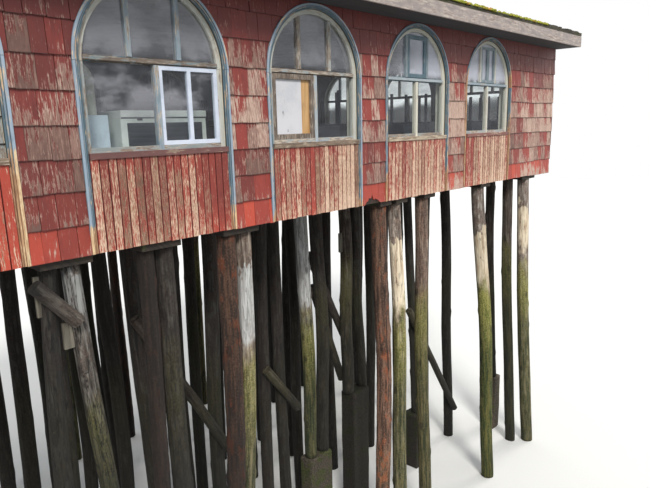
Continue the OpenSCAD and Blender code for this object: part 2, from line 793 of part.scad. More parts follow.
front_wall();
back_wall();
right_wall();
left_wall();
apron_boards();
front_casings();
back_casings();
end_casings();
front_window_frames();
back_window_frames();
end_window_frames();
window_glass();
sliding_window();
wooden_sashes();
blank_panel();
door_leaf();
door_frame();
floor();
floor_joists();
girders();
pole_head_planks();
ceiling();
front_roof();
back_roof();
ridge_cap();
fascias();
soffits();
verge_boards();
poles_row_1();
poles_row_2();
poles_row_3();
poles_row_4();
poles_row_5();
poles_row_6();
poles_row_7();
braces();
footing_blocks();
chest_freezer();
kitchen_cabinet();
air_duct();
dining_tables();
upturned_chairs();
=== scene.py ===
import math
import random

import bmesh
import bpy
import numpy as np
from mathutils import Matrix, Vector, noise


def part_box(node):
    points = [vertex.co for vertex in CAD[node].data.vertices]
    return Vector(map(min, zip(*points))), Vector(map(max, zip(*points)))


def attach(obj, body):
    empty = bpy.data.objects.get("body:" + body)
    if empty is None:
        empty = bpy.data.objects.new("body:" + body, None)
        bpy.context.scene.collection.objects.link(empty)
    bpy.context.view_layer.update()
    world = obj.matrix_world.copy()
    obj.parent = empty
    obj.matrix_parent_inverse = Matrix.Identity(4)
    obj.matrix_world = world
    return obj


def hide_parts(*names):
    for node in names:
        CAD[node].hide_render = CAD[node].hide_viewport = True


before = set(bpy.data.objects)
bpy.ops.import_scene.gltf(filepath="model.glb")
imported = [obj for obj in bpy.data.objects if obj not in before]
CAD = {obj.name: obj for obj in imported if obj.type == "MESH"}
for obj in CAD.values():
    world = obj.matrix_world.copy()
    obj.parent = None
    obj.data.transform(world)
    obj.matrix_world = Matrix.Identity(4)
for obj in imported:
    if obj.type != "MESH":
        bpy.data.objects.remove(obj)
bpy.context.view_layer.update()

# Sizes that the CAD gives, in metres
END_LOW, END_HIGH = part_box("right_wall")
HALF_D = END_HIGH.y
HALF_L = END_HIGH.x
WALL_Z = END_LOW.z
RIDGE_WALL_Z = END_HIGH.z
SOFFIT_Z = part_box("soffits")[0].z
WALL_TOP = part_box("front_wall")[1].z
APRON_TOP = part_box("apron_boards")[1].z
ROOF_LOW, ROOF_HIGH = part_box("front_roof")
# Thickness of the walls, and the levels of the transoms and of the painted shade low inside
WALL_DEEP = 0.17
TRANSOM_Z = 7.16
ROOM_SHADE_Z = 6.75

# Without a seed, noise_vector gives other values in every run
noise.seed_set(11)


def paint(red, green, blue):
    """A colour written as it looks on a screen, from 0 to 255, as Blender's linear one."""
    def linear(part):
        share = part / 255
        return share / 12.92 if share < 0.04045 else ((share + 0.055) / 1.055) ** 2.4
    return (linear(red), linear(green), linear(blue), 1.0)


# Shader helpers


class Wire:
    """A finish's value: an output socket, with arithmetic that adds Math nodes."""

    def __init__(self, finish, socket):
        self.finish = finish
        self.socket = socket

    def math(self, operation, *others):
        sockets = dict(enumerate((self, *others)))
        return self.finish.node("ShaderNodeMath", {"operation": operation}, sockets)

    def __add__(self, other):
        return self.math("ADD", other)

    def __sub__(self, other):
        return self.math("SUBTRACT", other)

    def __mul__(self, other):
        return self.math("MULTIPLY", other)

    def __rsub__(self, other):
        return self.finish.node("ShaderNodeMath", {"operation": "SUBTRACT"}, {0: other, 1: self})

    __radd__ = __add__
    __rmul__ = __mul__

    def away(self, middle):
        """The distance from a value, whichever way."""
        return (self - middle).math("ABSOLUTE")

    def clip(self):
        """Kept between 0 and 1."""
        return self.math("MINIMUM", 1.0).math("MAXIMUM", 0.0)


class Finish:
    """A material or world and the ways in which its nodes are made."""

    def __init__(self, holder):
        self.holder = holder
        holder.use_nodes = True
        self.tree = holder.node_tree
        self.tree.nodes.clear()

    def node(self, kind, settings=None, sockets=None, output=0):
        """Adds a node: its settings first, then the values or links of its sockets."""
        made = self.tree.nodes.new(kind)
        for key, value in (settings or {}).items():
            setattr(made, key, value)
        for key, value in (sockets or {}).items():
            if isinstance(value, Wire):
                self.tree.links.new(value.socket, made.inputs[key])
            else:
                made.inputs[key].default_value = value
        return Wire(self, made.outputs[output]) if made.outputs else None

    def outputs(self, kind, sockets=None):
        """Adds a node and gives all its outputs by name."""
        made = self.node(kind, None, sockets).socket.node
        return {out.name: Wire(self, out) for out in made.outputs}

    def place(self):
        """Where on the house a point is."""
        return self.node("ShaderNodeNewGeometry", output="Position")

    def split(self, vector):
        """The three parts of a vector."""
        return tuple(self.outputs("ShaderNodeSeparateXYZ", {0: vector}).values())

    def read(self, name):
        """A vector that the mesh carries."""
        return self.node("ShaderNodeAttribute", {"attribute_name": name}, output="Vector")

    def stretch(self, vector, across, along, third):
        """A vector with each of its parts multiplied."""
        sockets = {0: vector, 1: (across, along, third)}
        return self.node("ShaderNodeVectorMath", {"operation": "MULTIPLY"}, sockets)

    def noise(self, vector, scale=1.0, detail=3.0, rough=0.55):
        """Cloudy values from about 0.3 to 0.7."""
        sockets = {"Vector": vector, "Scale": scale, "Detail": detail, "Roughness": rough}
        return self.node("ShaderNodeTexNoise", None, sockets)

    def ease(self, value, low, high):
        """Runs smoothly from 0 at low to 1 at high."""
        sockets = {"Value": value, "From Min": low, "From Max": high}
        return self.node("ShaderNodeMapRange", {"interpolation_type": "SMOOTHSTEP"}, sockets)

    def mix(self, share, first, second, blend="MIX"):
        """The first colour where share is 0 and the second where it is 1."""
        settings = {"data_type": "RGBA", "blend_type": blend}
        return self.node("ShaderNodeMix", settings, {0: share, 6: first, 7: second}, 2)

    def darken(self, share, colour, tone=0.35):
        """Multiplies a colour down to a tone where share is 1."""
        return self.mix(share, colour, (tone, tone, tone, 1.0), "MULTIPLY")

    def surface(self, colour, rough, height=None, depth=0.002, strength=0.6):
        """Ends the material in one surface shader, with a bump where height is given."""
        sockets = {"Base Color": colour, "Roughness": rough}
        if height is not None:
            bump = {"Strength": strength, "Distance": depth, "Height": height}
            sockets["Normal"] = self.node("ShaderNodeBump", None, bump)
        return self.finish_with(self.node("ShaderNodeBsdfPrincipled", None, sockets))

    def finish_with(self, shader):
        """Ends the material in a shader."""
        self.node("ShaderNodeOutputMaterial", None, {"Surface": shader})
        return self.holder


def finish_named(name):
    """A new, empty material."""
    return Finish(bpy.data.materials.new(name))


# Finishes

RED_COATS = (paint(104, 42, 38), paint(150, 58, 50), paint(202, 82, 62))
MAUVE_WOODS = (paint(116, 88, 80), paint(162, 127, 115), paint(210, 180, 164))
TAN_WOODS = (paint(118, 88, 72), paint(176, 136, 112), paint(240, 208, 182))
BLUE_COATS = (paint(84, 108, 120), paint(146, 166, 184), paint(186, 202, 220))
CREAM_WOODS = (paint(160, 118, 90), paint(212, 174, 134), paint(246, 218, 176))
FRAME_COATS = (paint(80, 106, 118), paint(166, 182, 196), paint(226, 222, 206))
FRAME_WOODS = (paint(100, 88, 80), paint(152, 136, 122), paint(212, 202, 188))
SILL_COATS = (paint(104, 66, 62), paint(148, 96, 86), paint(154, 178, 202))
SILL_WOODS = (paint(96, 82, 72), paint(150, 130, 112), paint(206, 190, 168))
TRIM_COATS = (paint(112, 104, 104), paint(182, 168, 162), paint(196, 186, 178))
TRIM_WOODS = (paint(80, 74, 76), paint(152, 136, 130), paint(206, 194, 184))


def worn_paint(name, coats, woods, scale, less_up=0.0, spread=1.0, remnants=0.5, blots=1.4):
    """Paint that flakes off wood in streaks along the grain.

    coats are deep, plain and fresh paint and woods are dark, plain and pale. scale is how fine
    the streaks are, less_up how much the wear drops for each metre up from a butt, spread how
    ragged the wear is, remnants how much paint clings to the bare wood and blots how strongly
    the wear changes from place to place. The mesh carries grain and state.
    """
    f = finish_named(name)
    grain = f.read("grain")
    wear, tone, fresh = f.split(f.read("state"))
    along = f.split(grain)[1]
    patch = f.noise(f.stretch(grain, 12.0, 5.0, 5.0), detail=4.0, rough=0.6)
    streak = f.noise(f.stretch(grain, scale, scale * 0.07, 17.0), detail=4.0, rough=0.6)
    fleck = f.noise(f.stretch(grain, scale * 2.2, scale * 0.22, 11.0), detail=4.0, rough=0.65)
    hair = f.noise(f.stretch(grain, scale * 5.0, scale * 0.16, 23.0), detail=2.0)
    score = wear + ((patch - 0.5) * blots + (streak - 0.5) * 1.2 + (fleck - 0.5) * 0.9) * spread
    score = score - along * less_up if less_up else score
    bare = f.ease(score, 0.44, 0.52)
    coat = f.mix(f.ease(tone + (patch - 0.5) * 0.8 + (streak - 0.5) * 0.6, 0.1, 0.9), coats[0], coats[1])
    coat = f.mix(fresh, coat, coats[2])
    coat = f.mix(f.ease(score + (fleck - 0.5) * 0.9, 0.28, 0.52) * 0.28, coat, woods[1])
    coat = f.mix(f.ease(fleck, 0.62, 0.72) * 0.5, coat, woods[2])
    coat = f.darken(f.ease(hair, 0.56, 0.72) * 0.35, coat, 0.5)
    grey = f.ease(streak * 0.7 + patch * 0.5 + (tone - 0.5) * 0.3, 0.45, 0.72)
    wood = f.mix(grey, woods[0], woods[1])
    wood = f.mix(f.ease(fleck + (tone - 0.5) * 0.30, 0.48, 0.68), wood, woods[2])
    wood = f.mix(f.ease(1.0 - fleck + (0.5 - wear) * 0.2, 0.58, 0.66) * remnants, wood, coats[1])
    wood = f.darken(f.ease(hair, 0.50, 0.68) * 0.5, wood, 0.5)
    colour = f.mix(bare, coat, wood)
    rim = f.ease(score, 0.40, 0.45) * (1.0 - f.ease(score, 0.46, 0.52))
    colour = f.mix(rim * f.ease(fleck, 0.42, 0.56) * 0.5, colour, woods[2])
    stain = f.noise(f.stretch(grain, 13.0, 6.0, 3.0), detail=4.0)
    colour = f.darken(f.ease(stain, 0.56, 0.80) * 0.6, colour, 0.5)
    # Painted shade: a thin dark line along each shingle's butt edge
    if less_up:
        colour = f.darken(1.0 - f.ease(along, 0.0, 0.008), colour, 0.4)
    height = (1.0 - bare) * 0.5 + fleck * 0.35 - f.ease(hair, 0.5, 0.7) * 0.35
    return f.surface(colour, bare * 0.30 + 0.55, height, 0.0024, 0.6)


# How fine the grain of plain wood is
PLAIN_GRAIN = 24.0


def plain_wood(name, light, dark, rough, moss=0.0):
    """Bare or stained wood with grain along the piece."""
    f = finish_named(name)
    grain = f.read("grain")
    fibre = f.noise(f.stretch(grain, PLAIN_GRAIN, PLAIN_GRAIN * 0.06, 13.0), detail=5.0)
    lines = f.noise(f.stretch(grain, PLAIN_GRAIN * 5.0, PLAIN_GRAIN * 0.12, 29.0), detail=3.0)
    blotch = f.noise(f.place(), 2.6, 4.0)
    colour = f.mix(f.ease(fibre, 0.3, 0.7), dark, light)
    colour = f.darken(f.ease(lines, 0.52, 0.70), colour, 0.6)
    colour = f.darken(f.ease(blotch, 0.50, 0.75) * 0.8, colour, 0.5)
    if moss:
        green = f.ease(f.noise(f.place(), 4.0, 5.0), 0.62 - moss * 0.3, 0.72)
        colour = f.mix(green * 0.8, colour, paint(62, 72, 38))
    return f.surface(colour, fibre * 0.15 + (rough - 0.1), fibre + lines * 0.5, 0.003)


def log_finish(name):
    """Logs: grey or brown wood, flakes of bark, a band of painted sunlight drawn as stripped wood, cracks
    and bands of moss, under painted light and shade.

    The mesh carries state (tone, which is painted light and shade, rust and moss), bands (the sunlit band's
    middle, half its length and the level up to which moss grows) and bark (cracks, brownness and paleness).
    """
    f = finish_named(name)
    grain = f.read("grain")
    tone, rust, moss = f.split(f.read("state"))
    sunlit_band_z, sunlit_band_half, moss_top = f.split(f.read("bands"))
    crack, brown, pale = f.split(f.read("bark"))
    place = f.place()
    height = f.split(place)[2]
    fibre = f.noise(f.stretch(grain, 28.0, 2.0, 28.0), detail=6.0, rough=0.6)
    broad = f.noise(f.stretch(grain, 7.0, 2.6, 7.0), detail=3.0)
    plate = f.noise(f.stretch(grain, 15.0, 6.0, 15.0), detail=5.0, rough=0.65)
    speck = f.noise(place, 46.0, 4.0, 0.7)
    grey = f.mix(f.ease(fibre, 0.36, 0.64), paint(100, 94, 86), paint(204, 200, 192))
    tan = f.mix(f.ease(fibre, 0.36, 0.64), paint(88, 66, 54), paint(200, 172, 150))
    wood = f.mix(brown, grey, tan)
    bark = f.mix(f.ease(speck, 0.40, 0.62), paint(84, 66, 58), paint(152, 126, 112))
    wood = f.mix(f.ease(plate + (1.0 - pale) * 0.06, 0.48, 0.60) * 0.7, wood, bark)
    ruddy = f.mix(f.ease(fibre + (speck - 0.5) * 0.6, 0.36, 0.66), paint(72, 52, 42), paint(160, 118, 96))
    ruddy = f.mix(f.ease(plate + (broad - 0.5) * 0.9, 0.57, 0.68) * 0.8, ruddy, paint(176, 98, 62))
    ruddy = f.mix(f.ease(speck + (plate - 0.5) * 0.6, 0.64, 0.70) * 0.6, ruddy, paint(196, 170, 150))
    wood = f.mix((rust * f.ease(broad + rust * 0.40, 0.45, 0.62)).clip(), wood, ruddy)
    waver = (broad - 0.5) * 1.1 + (plate - 0.5) * 0.30
    # Painted sunlight: a pale band on the log, sharp at its top where the house's shadow ends and soft below
    above = f.ease(height - sunlit_band_z - sunlit_band_half + waver, -0.03, 0.03)
    below = f.ease(sunlit_band_z - sunlit_band_half - height + waver, -0.16, 0.12)
    cream = f.mix(f.ease(fibre, 0.34, 0.58), paint(206, 178, 148), paint(255, 240, 212))
    white = f.mix(f.ease(fibre, 0.34, 0.58), paint(178, 174, 170), paint(228, 228, 226))
    sunlit_wood = f.mix(f.ease(plate, 0.60, 0.66) * 0.7, f.mix(pale, cream, white), bark)
    wood = f.mix((1.0 - above) * (1.0 - below), wood, sunlit_wood)
    drop = moss_top - height + (broad - 0.5) * 1.2 + (fibre - 0.5) * 0.5
    deep = f.mix(f.ease(fibre + (speck - 0.5) * 0.7, 0.38, 0.62), paint(42, 60, 26), paint(112, 108, 60))
    young = f.mix(f.ease(speck + (fibre - 0.5) * 0.6, 0.38, 0.64), paint(112, 118, 50), paint(182, 174, 104))
    green = f.mix(f.ease(drop, 0.35, 1.6), young, deep)
    grows = f.ease(drop, -0.15, 0.50) * moss * f.ease(speck + plate * 0.7 + moss * 0.35, 0.74, 1.02)
    wood = f.mix(grows.clip(), wood, green)
    vein = f.noise(f.stretch(grain, 30.0, 2.6, 30.0), detail=3.0).away(0.5)
    lines = 1.0 - f.ease(vein, 0.0, 0.035)
    split = f.ease(f.noise(f.stretch(grain, 16.0, 0.5, 16.0), detail=2.0), 0.67, 0.72)
    cracks = (lines * (crack * 0.9 + 0.15) + split).clip()
    wood = f.darken(cracks, wood, 0.22)
    spots = f.node("ShaderNodeTexVoronoi", None, {"Vector": f.stretch(grain, 5.2, 2.4, 5.2), "Scale": 1.0})
    knots = 1.0 - f.ease(spots + (fibre - 0.5) * 0.14, 0.12, 0.21)
    wood = f.darken(knots * 0.85, wood, 0.35)
    foot = 1.0 - f.ease(height + (broad - 0.5) * 0.8, 0.1, 1.1)
    wood = f.darken(foot * 0.5, wood, 0.45)
    # Painted light and shade: tone darkens each log towards black, most under the house
    lit = f.mix(tone, (0.020, 0.021, 0.019, 1.0), (1.0, 1.0, 1.0, 1.0))
    wood = f.mix(1.0, wood, lit, "MULTIPLY")
    relief = fibre + plate * 0.9 - cracks * 1.3 + knots + (grows + rust * 0.8) * speck
    return f.surface(wood, 0.88, relief, 0.010, 0.9)


def wall_finish():
    """The framed wall: painted shade on its outer face behind the shingles and at its foot, pale reveals,
    and painted shade on the room's walls low down.
    """
    f = finish_named("wall_lining")
    x, y, z = f.split(f.place())
    deep = (x.math("ABSOLUTE") - HALF_L).math("MAXIMUM", y.math("ABSOLUTE") - HALF_D)
    # Painted shade: the outer face, seen between the shingles, and the wall's foot are dark
    outer = f.ease(deep, -0.016, -0.012)
    inner = 1.0 - f.ease(deep, -WALL_DEEP + 0.004, -WALL_DEEP + 0.008)
    under = 1.0 - f.ease(z, WALL_Z + 0.01, WALL_Z + 0.03)
    stain = f.noise(f.place(), 3.5, 5.0)
    cream = f.mix(f.ease(stain, 0.45, 0.75), paint(236, 233, 216), paint(204, 200, 182))
    boards = f.noise(f.stretch(f.place(), 9.0, 9.0, 1.4), detail=4.0)
    dark = f.mix(f.ease(boards, 0.35, 0.65), paint(44, 34, 30), paint(84, 66, 54))
    grey = f.mix(f.ease(stain, 0.45, 0.75), paint(118, 122, 126), paint(96, 100, 104))
    # Painted shade low on the room's walls
    low_room_shade = f.mix(f.ease(boards, 0.35, 0.65), paint(30, 38, 44), paint(48, 56, 62))
    room = f.mix(1.0 - f.ease(z, ROOM_SHADE_Z, ROOM_SHADE_Z + 0.01), grey, low_room_shade)
    colour = f.mix(inner, f.mix((outer + under).clip(), cream, dark), room)
    return f.surface(colour, 0.8, stain + boards * 0.4, 0.003)


# Stretches over which the painted sky reflections and the grime on the glass come or go. The last two run
# upwards,
# BACK_GLASS runs along the house's depth and the others run along its length.
SKY_GLARE_COMES, SKY_GLARE_GOES = (1.2, 2.2), (5.9, 6.1)
CLOUD_GLARE_GOES = (-1.2, -0.6)
BACK_GLASS = (2.5, 2.6)
RIGHT_GLASS = (6.2, 6.3)
CLOUD_GLARE_ABOVE = (6.62, 6.90)
GRIME_ENDS = (6.90, 7.10)


def glass_finish():
    """Old window glass: clear below, with a painted reflection of a cloudy sky above the transoms, most at
    the right, and in the upper part of the left windows' lower panes.

    The back windows are blind with grime, and the right wall's lower panes half blind.
    """
    f = finish_named("old_window_glass")
    place = f.place()
    x, y, z = f.split(place)
    upper = f.ease(z, TRANSOM_Z, TRANSOM_Z + 0.12)
    # Painted sky reflection above the transoms, most at the right
    sky_glare = upper * f.ease(x, *SKY_GLARE_COMES) * (1.0 - f.ease(x, *SKY_GLARE_GOES))
    blind = f.ease(y, *BACK_GLASS)
    cloud = f.noise(f.stretch(place, 1.0, 1.0, 1.9), 1.7, 5.0, 0.6)
    # A faint film of dirt everywhere, and more veil above the transoms as painted sky reflection
    dirt = f.ease(cloud, 0.36, 0.68) * (upper * 0.16 + 0.03) + upper * 0.10 + 0.01
    # Painted reflection of clouds in the upper part of the left windows' lower panes
    cloud_glare = (1.0 - f.ease(x, *CLOUD_GLARE_GOES)) * (1.0 - upper) * f.ease(z, *CLOUD_GLARE_ABOVE)
    cloud_glare = cloud_glare * (f.ease(cloud, 0.42, 0.62) * 0.30 + 0.06)
    grimy = f.ease(x, *RIGHT_GLASS) * (1.0 - f.ease(z + (cloud - 0.5) * 0.35, *GRIME_ENDS))
    # The veil's share: real dirt and grime, together with the painted sky reflections
    dirt = (dirt + sky_glare * 0.55 + cloud_glare + blind * 0.9 + grimy * 0.68).clip()
    clear = f.node("ShaderNodeBsdfTransparent", None, {"Color": (0.95, 0.97, 0.97, 1.0)})
    veil_colour = f.mix(f.ease(cloud, 0.40, 0.62), paint(122, 124, 132), paint(186, 186, 194))
    # Pale blue-white veil where the sky's reflection is painted
    veil_colour = f.mix(sky_glare, veil_colour, paint(214, 216, 228))
    veil_colour = f.mix(blind.math("MAXIMUM", grimy), veil_colour, paint(70, 74, 78))
    matt = {"Base Color": veil_colour, "Roughness": 0.9, "Specular IOR Level": 0.0}
    veil = f.node("ShaderNodeBsdfPrincipled", None, matt)
    body = f.node("ShaderNodeMixShader", None, {0: dirt, 1: clear, 2: veil})
    shine = {"Color": (0.80, 0.80, 0.86, 1.0), "Roughness": 0.03}
    mirror = f.node("ShaderNodeBsdfGlossy", None, shine)
    facing = f.outputs("ShaderNodeLayerWeight", {"Blend": 0.5})["Facing"]
    gleam = (facing.math("POWER", 5.0) * 0.94 + 0.06) * (upper * 0.6 + 0.4)
    return f.finish_with(f.node("ShaderNodeMixShader", None, {0: gleam, 1: body, 2: mirror}))


def coated(name, colour, dirt, rough, chips=0.0):
    """Smooth paint, enamel or coated metal with faint dirt and, where asked, dark chips."""
    f = finish_named(name)
    cloud = f.noise(f.place(), 5.0, 5.0)
    speck = f.noise(f.place(), 60.0, 3.0)
    share = f.ease(cloud * 0.8 + speck * 0.2, 0.42, 0.74)
    tint = f.mix(share, colour, dirt)
    if chips:
        chip = f.noise(f.stretch(f.place(), 26.0, 26.0, 17.0), detail=3.0)
        tint = f.darken(f.ease(chip, 0.74 - chips * 0.05, 0.76), tint, 0.25)
    return f.surface(tint, share * 0.2 + rough, cloud, 0.0006)


def moss_finish():
    """Moss in green and yellow tufts, with rusty patches."""
    f = finish_named("roof_moss")
    tuft = f.noise(f.place(), 70.0, 5.0, 0.7)
    broad = f.noise(f.place(), 3.2, 3.0)
    green = f.mix(f.ease(tuft, 0.38, 0.62), paint(86, 92, 26), paint(204, 202, 70))
    warm = f.mix(f.ease(tuft, 0.4, 0.62), paint(150, 104, 44), paint(232, 182, 86))
    colour = f.mix(f.ease(broad, 0.52, 0.60), green, warm)
    return f.surface(colour, 0.95, tuft, 0.012, 1.0)


def block_finish():
    """Concrete blocks, dark and wet, with moss where state says so."""
    f = finish_named("mossy_concrete")
    grit = f.noise(f.place(), 46.0, 6.0, 0.7)
    broad = f.noise(f.place(), 5.0, 4.0)
    tone, moss, _ = f.split(f.read("state"))
    stone = f.mix(f.ease(grit, 0.35, 0.68), paint(58, 52, 46), paint(132, 120, 104))
    green = f.mix(f.ease(grit, 0.4, 0.6), paint(54, 68, 30), paint(108, 112, 62))
    colour = f.mix(f.ease(broad + (grit - 0.5) * 0.5 + moss * 0.3, 0.56, 0.68), stone, green)
    colour = f.mix(1.0, colour, f.mix(tone, (0.05, 0.05, 0.05, 1.0), (1.0, 1.0, 1.0, 1.0)), "MULTIPLY")
    return f.surface(colour, 0.92, grit + broad, 0.008)


FINISH = {
    "shingle": worn_paint("worn_red_shingles", RED_COATS, MAUVE_WOODS, 52.0, less_up=1.4, remnants=0.40),
    "apron": worn_paint("flaking_red_boards", RED_COATS, TAN_WOODS, 92.0, spread=1.2, remnants=0.9,
                        blots=0.6),
    "casing": worn_paint("worn_blue_casing", BLUE_COATS, CREAM_WOODS, 40.0, spread=0.8),
    "frame": worn_paint("peeling_frame_paint", FRAME_COATS, FRAME_WOODS, 48.0, spread=0.8),
    "sill": worn_paint("worn_sills", SILL_COATS, SILL_WOODS, 34.0, spread=0.9),
    "trim": worn_paint("stained_trim", TRIM_COATS, TRIM_WOODS, 20.0, spread=0.7),
    "door": worn_paint("worn_red_door", RED_COATS, TAN_WOODS, 40.0),
    "log": log_finish("weathered_logs"),
    "wall": wall_finish(),
    "glass": glass_finish(),
    "roof": plain_wood("grey_roof_shingles", paint(112, 104, 92), paint(62, 58, 52), 0.9, moss=0.7),
    # The soffit's near-black colour is painted shade under the eave
    "soffit": plain_wood("dark_soffit", paint(44, 40, 44), paint(20, 19, 22), 0.9),
    "beam": plain_wood("damp_beams", paint(64, 54, 46), paint(26, 22, 19), 0.85, moss=0.1),
    "cleat": plain_wood("grey_boards", paint(150, 144, 130), paint(92, 86, 76), 0.85),
    "floor": plain_wood("floor_boards", paint(120, 96, 74), paint(70, 54, 42), 0.7),
    "tan": plain_wood("tan_batten", paint(226, 184, 130), paint(196, 150, 98), 0.6),
    "dark": plain_wood("dark_furniture", paint(38, 46, 60), paint(16, 20, 28), 0.5),
    "ceiling": coated("ceiling_paint", paint(214, 210, 200), paint(168, 164, 154), 0.7),
    "aluminium": coated("white_aluminium", paint(226, 234, 250), paint(196, 206, 224), 0.32),
    "panel": coated("white_sheet", paint(222, 221, 226), paint(204, 206, 212), 0.45, chips=1.0),
    "enamel": coated("white_enamel", paint(240, 243, 238), paint(206, 212, 206), 0.3),
    "grille": coated("dark_grille", paint(46, 52, 60), paint(28, 31, 37), 0.45),
    "cabinet": coated("pale_cabinet", paint(222, 236, 248), paint(190, 204, 218), 0.5),
    "duct": coated("duct_paint", paint(226, 224, 208), paint(188, 184, 168), 0.5),
    "rod": coated("dark_rods", paint(46, 48, 52), paint(84, 62, 48), 0.6),
    "moss": moss_finish(),
    "concrete": block_finish(),
}


# Mesh helpers


class Shape:
    """Collects points, faces and what each point carries, then makes one piece of them.

    grain is a place in the wood: across, along and a seed. state is wear, tone and freshness,
    or what a finish says that it reads instead.
    """

    def __init__(self):
        self.points = []
        self.faces = []
        self.carried = {"grain": [], "state": []}

    def add(self, point, grain=(0.0, 0.0, 0.0), state=(0.0, 0.5, 0.0), **more):
        """Adds a point and gives its number."""
        self.points.append(point)
        for name, value in (("grain", grain), ("state", state), *more.items()):
            self.carried.setdefault(name, []).append(value)
        return len(self.points) - 1

    def tube(self, rings):
        """Closed skin over rings of points that run the same way round."""
        for near, far in zip(rings, rings[1:]):
            for a in range(len(near)):
                b = (a + 1) % len(near)
                self.faces.append((near[a], near[b], far[b], far[a]))
        self.faces.append(tuple(reversed(rings[0])))
        self.faces.append(tuple(rings[-1]))

    def take_faces(self, bm, base):
        """Takes over the faces of a worked shape whose points were added from base on."""
        for face in bm.faces:
            self.faces.append(tuple(base + vert.index for vert in face.verts))
        bm.free()

    def make(self, name, finish, nodes=(), smooth=False):
        """Makes the piece, which stands in for the given CAD nodes."""
        mesh = bpy.data.meshes.new(name)
        mesh.from_pydata([tuple(p) for p in self.points], [], self.faces)
        for key, values in self.carried.items():
            carry(mesh, key, values)
        mesh.validate()
        if smooth:
            mesh.polygons.foreach_set("use_smooth", [True] * len(mesh.polygons))
        return piece(name, mesh, finish, nodes)


def carry(mesh, name, values):
    """Writes a vector for each point of a mesh."""
    made = mesh.attributes.new(name, "FLOAT_VECTOR", "POINT")
    made.data.foreach_set("vector", np.array(values, np.float32).ravel())


def in_scene(name, data):
    """Puts a mesh, lamp or camera in the scene."""
    made = bpy.data.objects.new(name, data)
    bpy.context.scene.collection.objects.link(made)
    return made


def piece(name, mesh, finish, nodes=()):
    """Puts a mesh in the scene as a piece of the house, in place of the given CAD nodes."""
    made = in_scene(name, mesh)
    mesh.materials.append(FINISH[finish])
    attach(made, "root")
    if nodes:
        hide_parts(*nodes)
    return made


def joined(node):
    """A CAD node's shape with shared points."""
    bm = bmesh.new()
    bm.from_mesh(CAD[node].data)
    bmesh.ops.remove_doubles(bm, verts=bm.verts, dist=0.0001)
    return bm


def copy_of(node):
    """A CAD node's shape to work on, in flat faces with shared points."""
    bm = joined(node)
    bmesh.ops.dissolve_limit(bm, angle_limit=math.radians(1), verts=bm.verts, edges=bm.edges)
    return bm


def parts_of(bm):
    """The separate parts of a shape, each as a list of its points."""
    seen = set()
    parts = []
    for start in bm.verts:
        if start in seen:
            continue
        seen.add(start)
        group = [start]
        for vert in group:
            for edge in vert.link_edges:
                other = edge.other_vert(vert)
                if other not in seen:
                    seen.add(other)
                    group.append(other)
        parts.append(group)
    return parts


def islands(node):
    """The separate solids of a CAD node, each as a list of its corner points."""
    bm = joined(node)
    found = [[vert.co.copy() for vert in part] for part in parts_of(bm)]
    bm.free()
    return found


def random_for(name, number):
    """A repeatable number from 0 to 1 for a piece and one of its parts."""
    return random.Random(f"{name} {number}").random()


# How sharp an edge is rounded, and how long one is divided before its points are moved
SHARP_TURN = 0.5
LONG_EDGE = 0.12
# How much wear and tone differ between the solids of a node
WEAR_SPREAD, TONE_SPREAD = 0.25, 0.4


def soften(node, finish, width=0.004, wear=0.5, looks=None, rough=0.0, steps=2,
           name=None, only=None):
    """A piece like a CAD node, with its edges rounded and its grain along each solid.

    width and steps are those of the rounding, and wear is the solids' middle one. looks gives
    wear, tone and freshness for a solid's middle instead. rough moves the points of a
    subdivided copy by up to that much. only picks some of the solids.
    """
    bm = copy_of(node)
    if only:
        drop = [vert for part in parts_of(bm) if not only(part) for vert in part]
        bmesh.ops.delete(bm, geom=drop, context="VERTS")
    sharp = [e for e in bm.edges if len(e.link_faces) == 2 and e.calc_face_angle(0) > SHARP_TURN]
    bmesh.ops.bevel(bm, geom=sharp, offset=width, segments=steps, profile=0.6, affect="EDGES",
                    clamp_overlap=True)
    bmesh.ops.triangulate(bm, faces=[f for f in bm.faces if len(f.verts) > 4])
    if rough:
        long_edges = [e for e in bm.edges if e.calc_length() > LONG_EDGE]
        bmesh.ops.subdivide_edges(bm, edges=long_edges, cuts=4, use_grid_fill=True)
        for vert in bm.verts:
            vert.co += noise.noise_vector(vert.co * 6.0) * rough
            vert.co.z = max(vert.co.z, 0.0)
    bm.verts.index_update()
    grain = np.zeros((len(bm.verts), 3))
    state = np.zeros((len(bm.verts), 3))
    for label, part in enumerate(parts_of(bm)):
        points = np.array([vert.co for vert in part])
        order = np.argsort(points.max(0) - points.min(0))
        seed = np.full(len(part), label * 0.37)
        mask = [vert.index for vert in part]
        grain[mask] = np.stack((points[:, order[0]] + points[:, order[1]], points[:, order[2]], seed), 1)
        if looks:
            state[mask] = looks(Vector((points.max(0) + points.min(0)) / 2))
        else:
            state[mask, 0] = wear + WEAR_SPREAD * (random_for(node, label) - 0.5)
            state[mask, 1] = 0.5 + TONE_SPREAD * (random_for(node, label + 0.5) - 0.5)
    name = name or node + "_piece"
    mesh = bpy.data.meshes.new(name)
    bm.to_mesh(mesh)
    bm.free()
    carry(mesh, "grain", grain)
    carry(mesh, "state", state)
    piece(name, mesh, finish, (node,))


# A round brace has more points than this, and a cleat fewer
BOARD_CORNERS = 40


def is_board(part):
    """Whether a solid has so few corner points that it is a plain board."""
    return len(part) < BOARD_CORNERS


# Sides of the house and their window bays


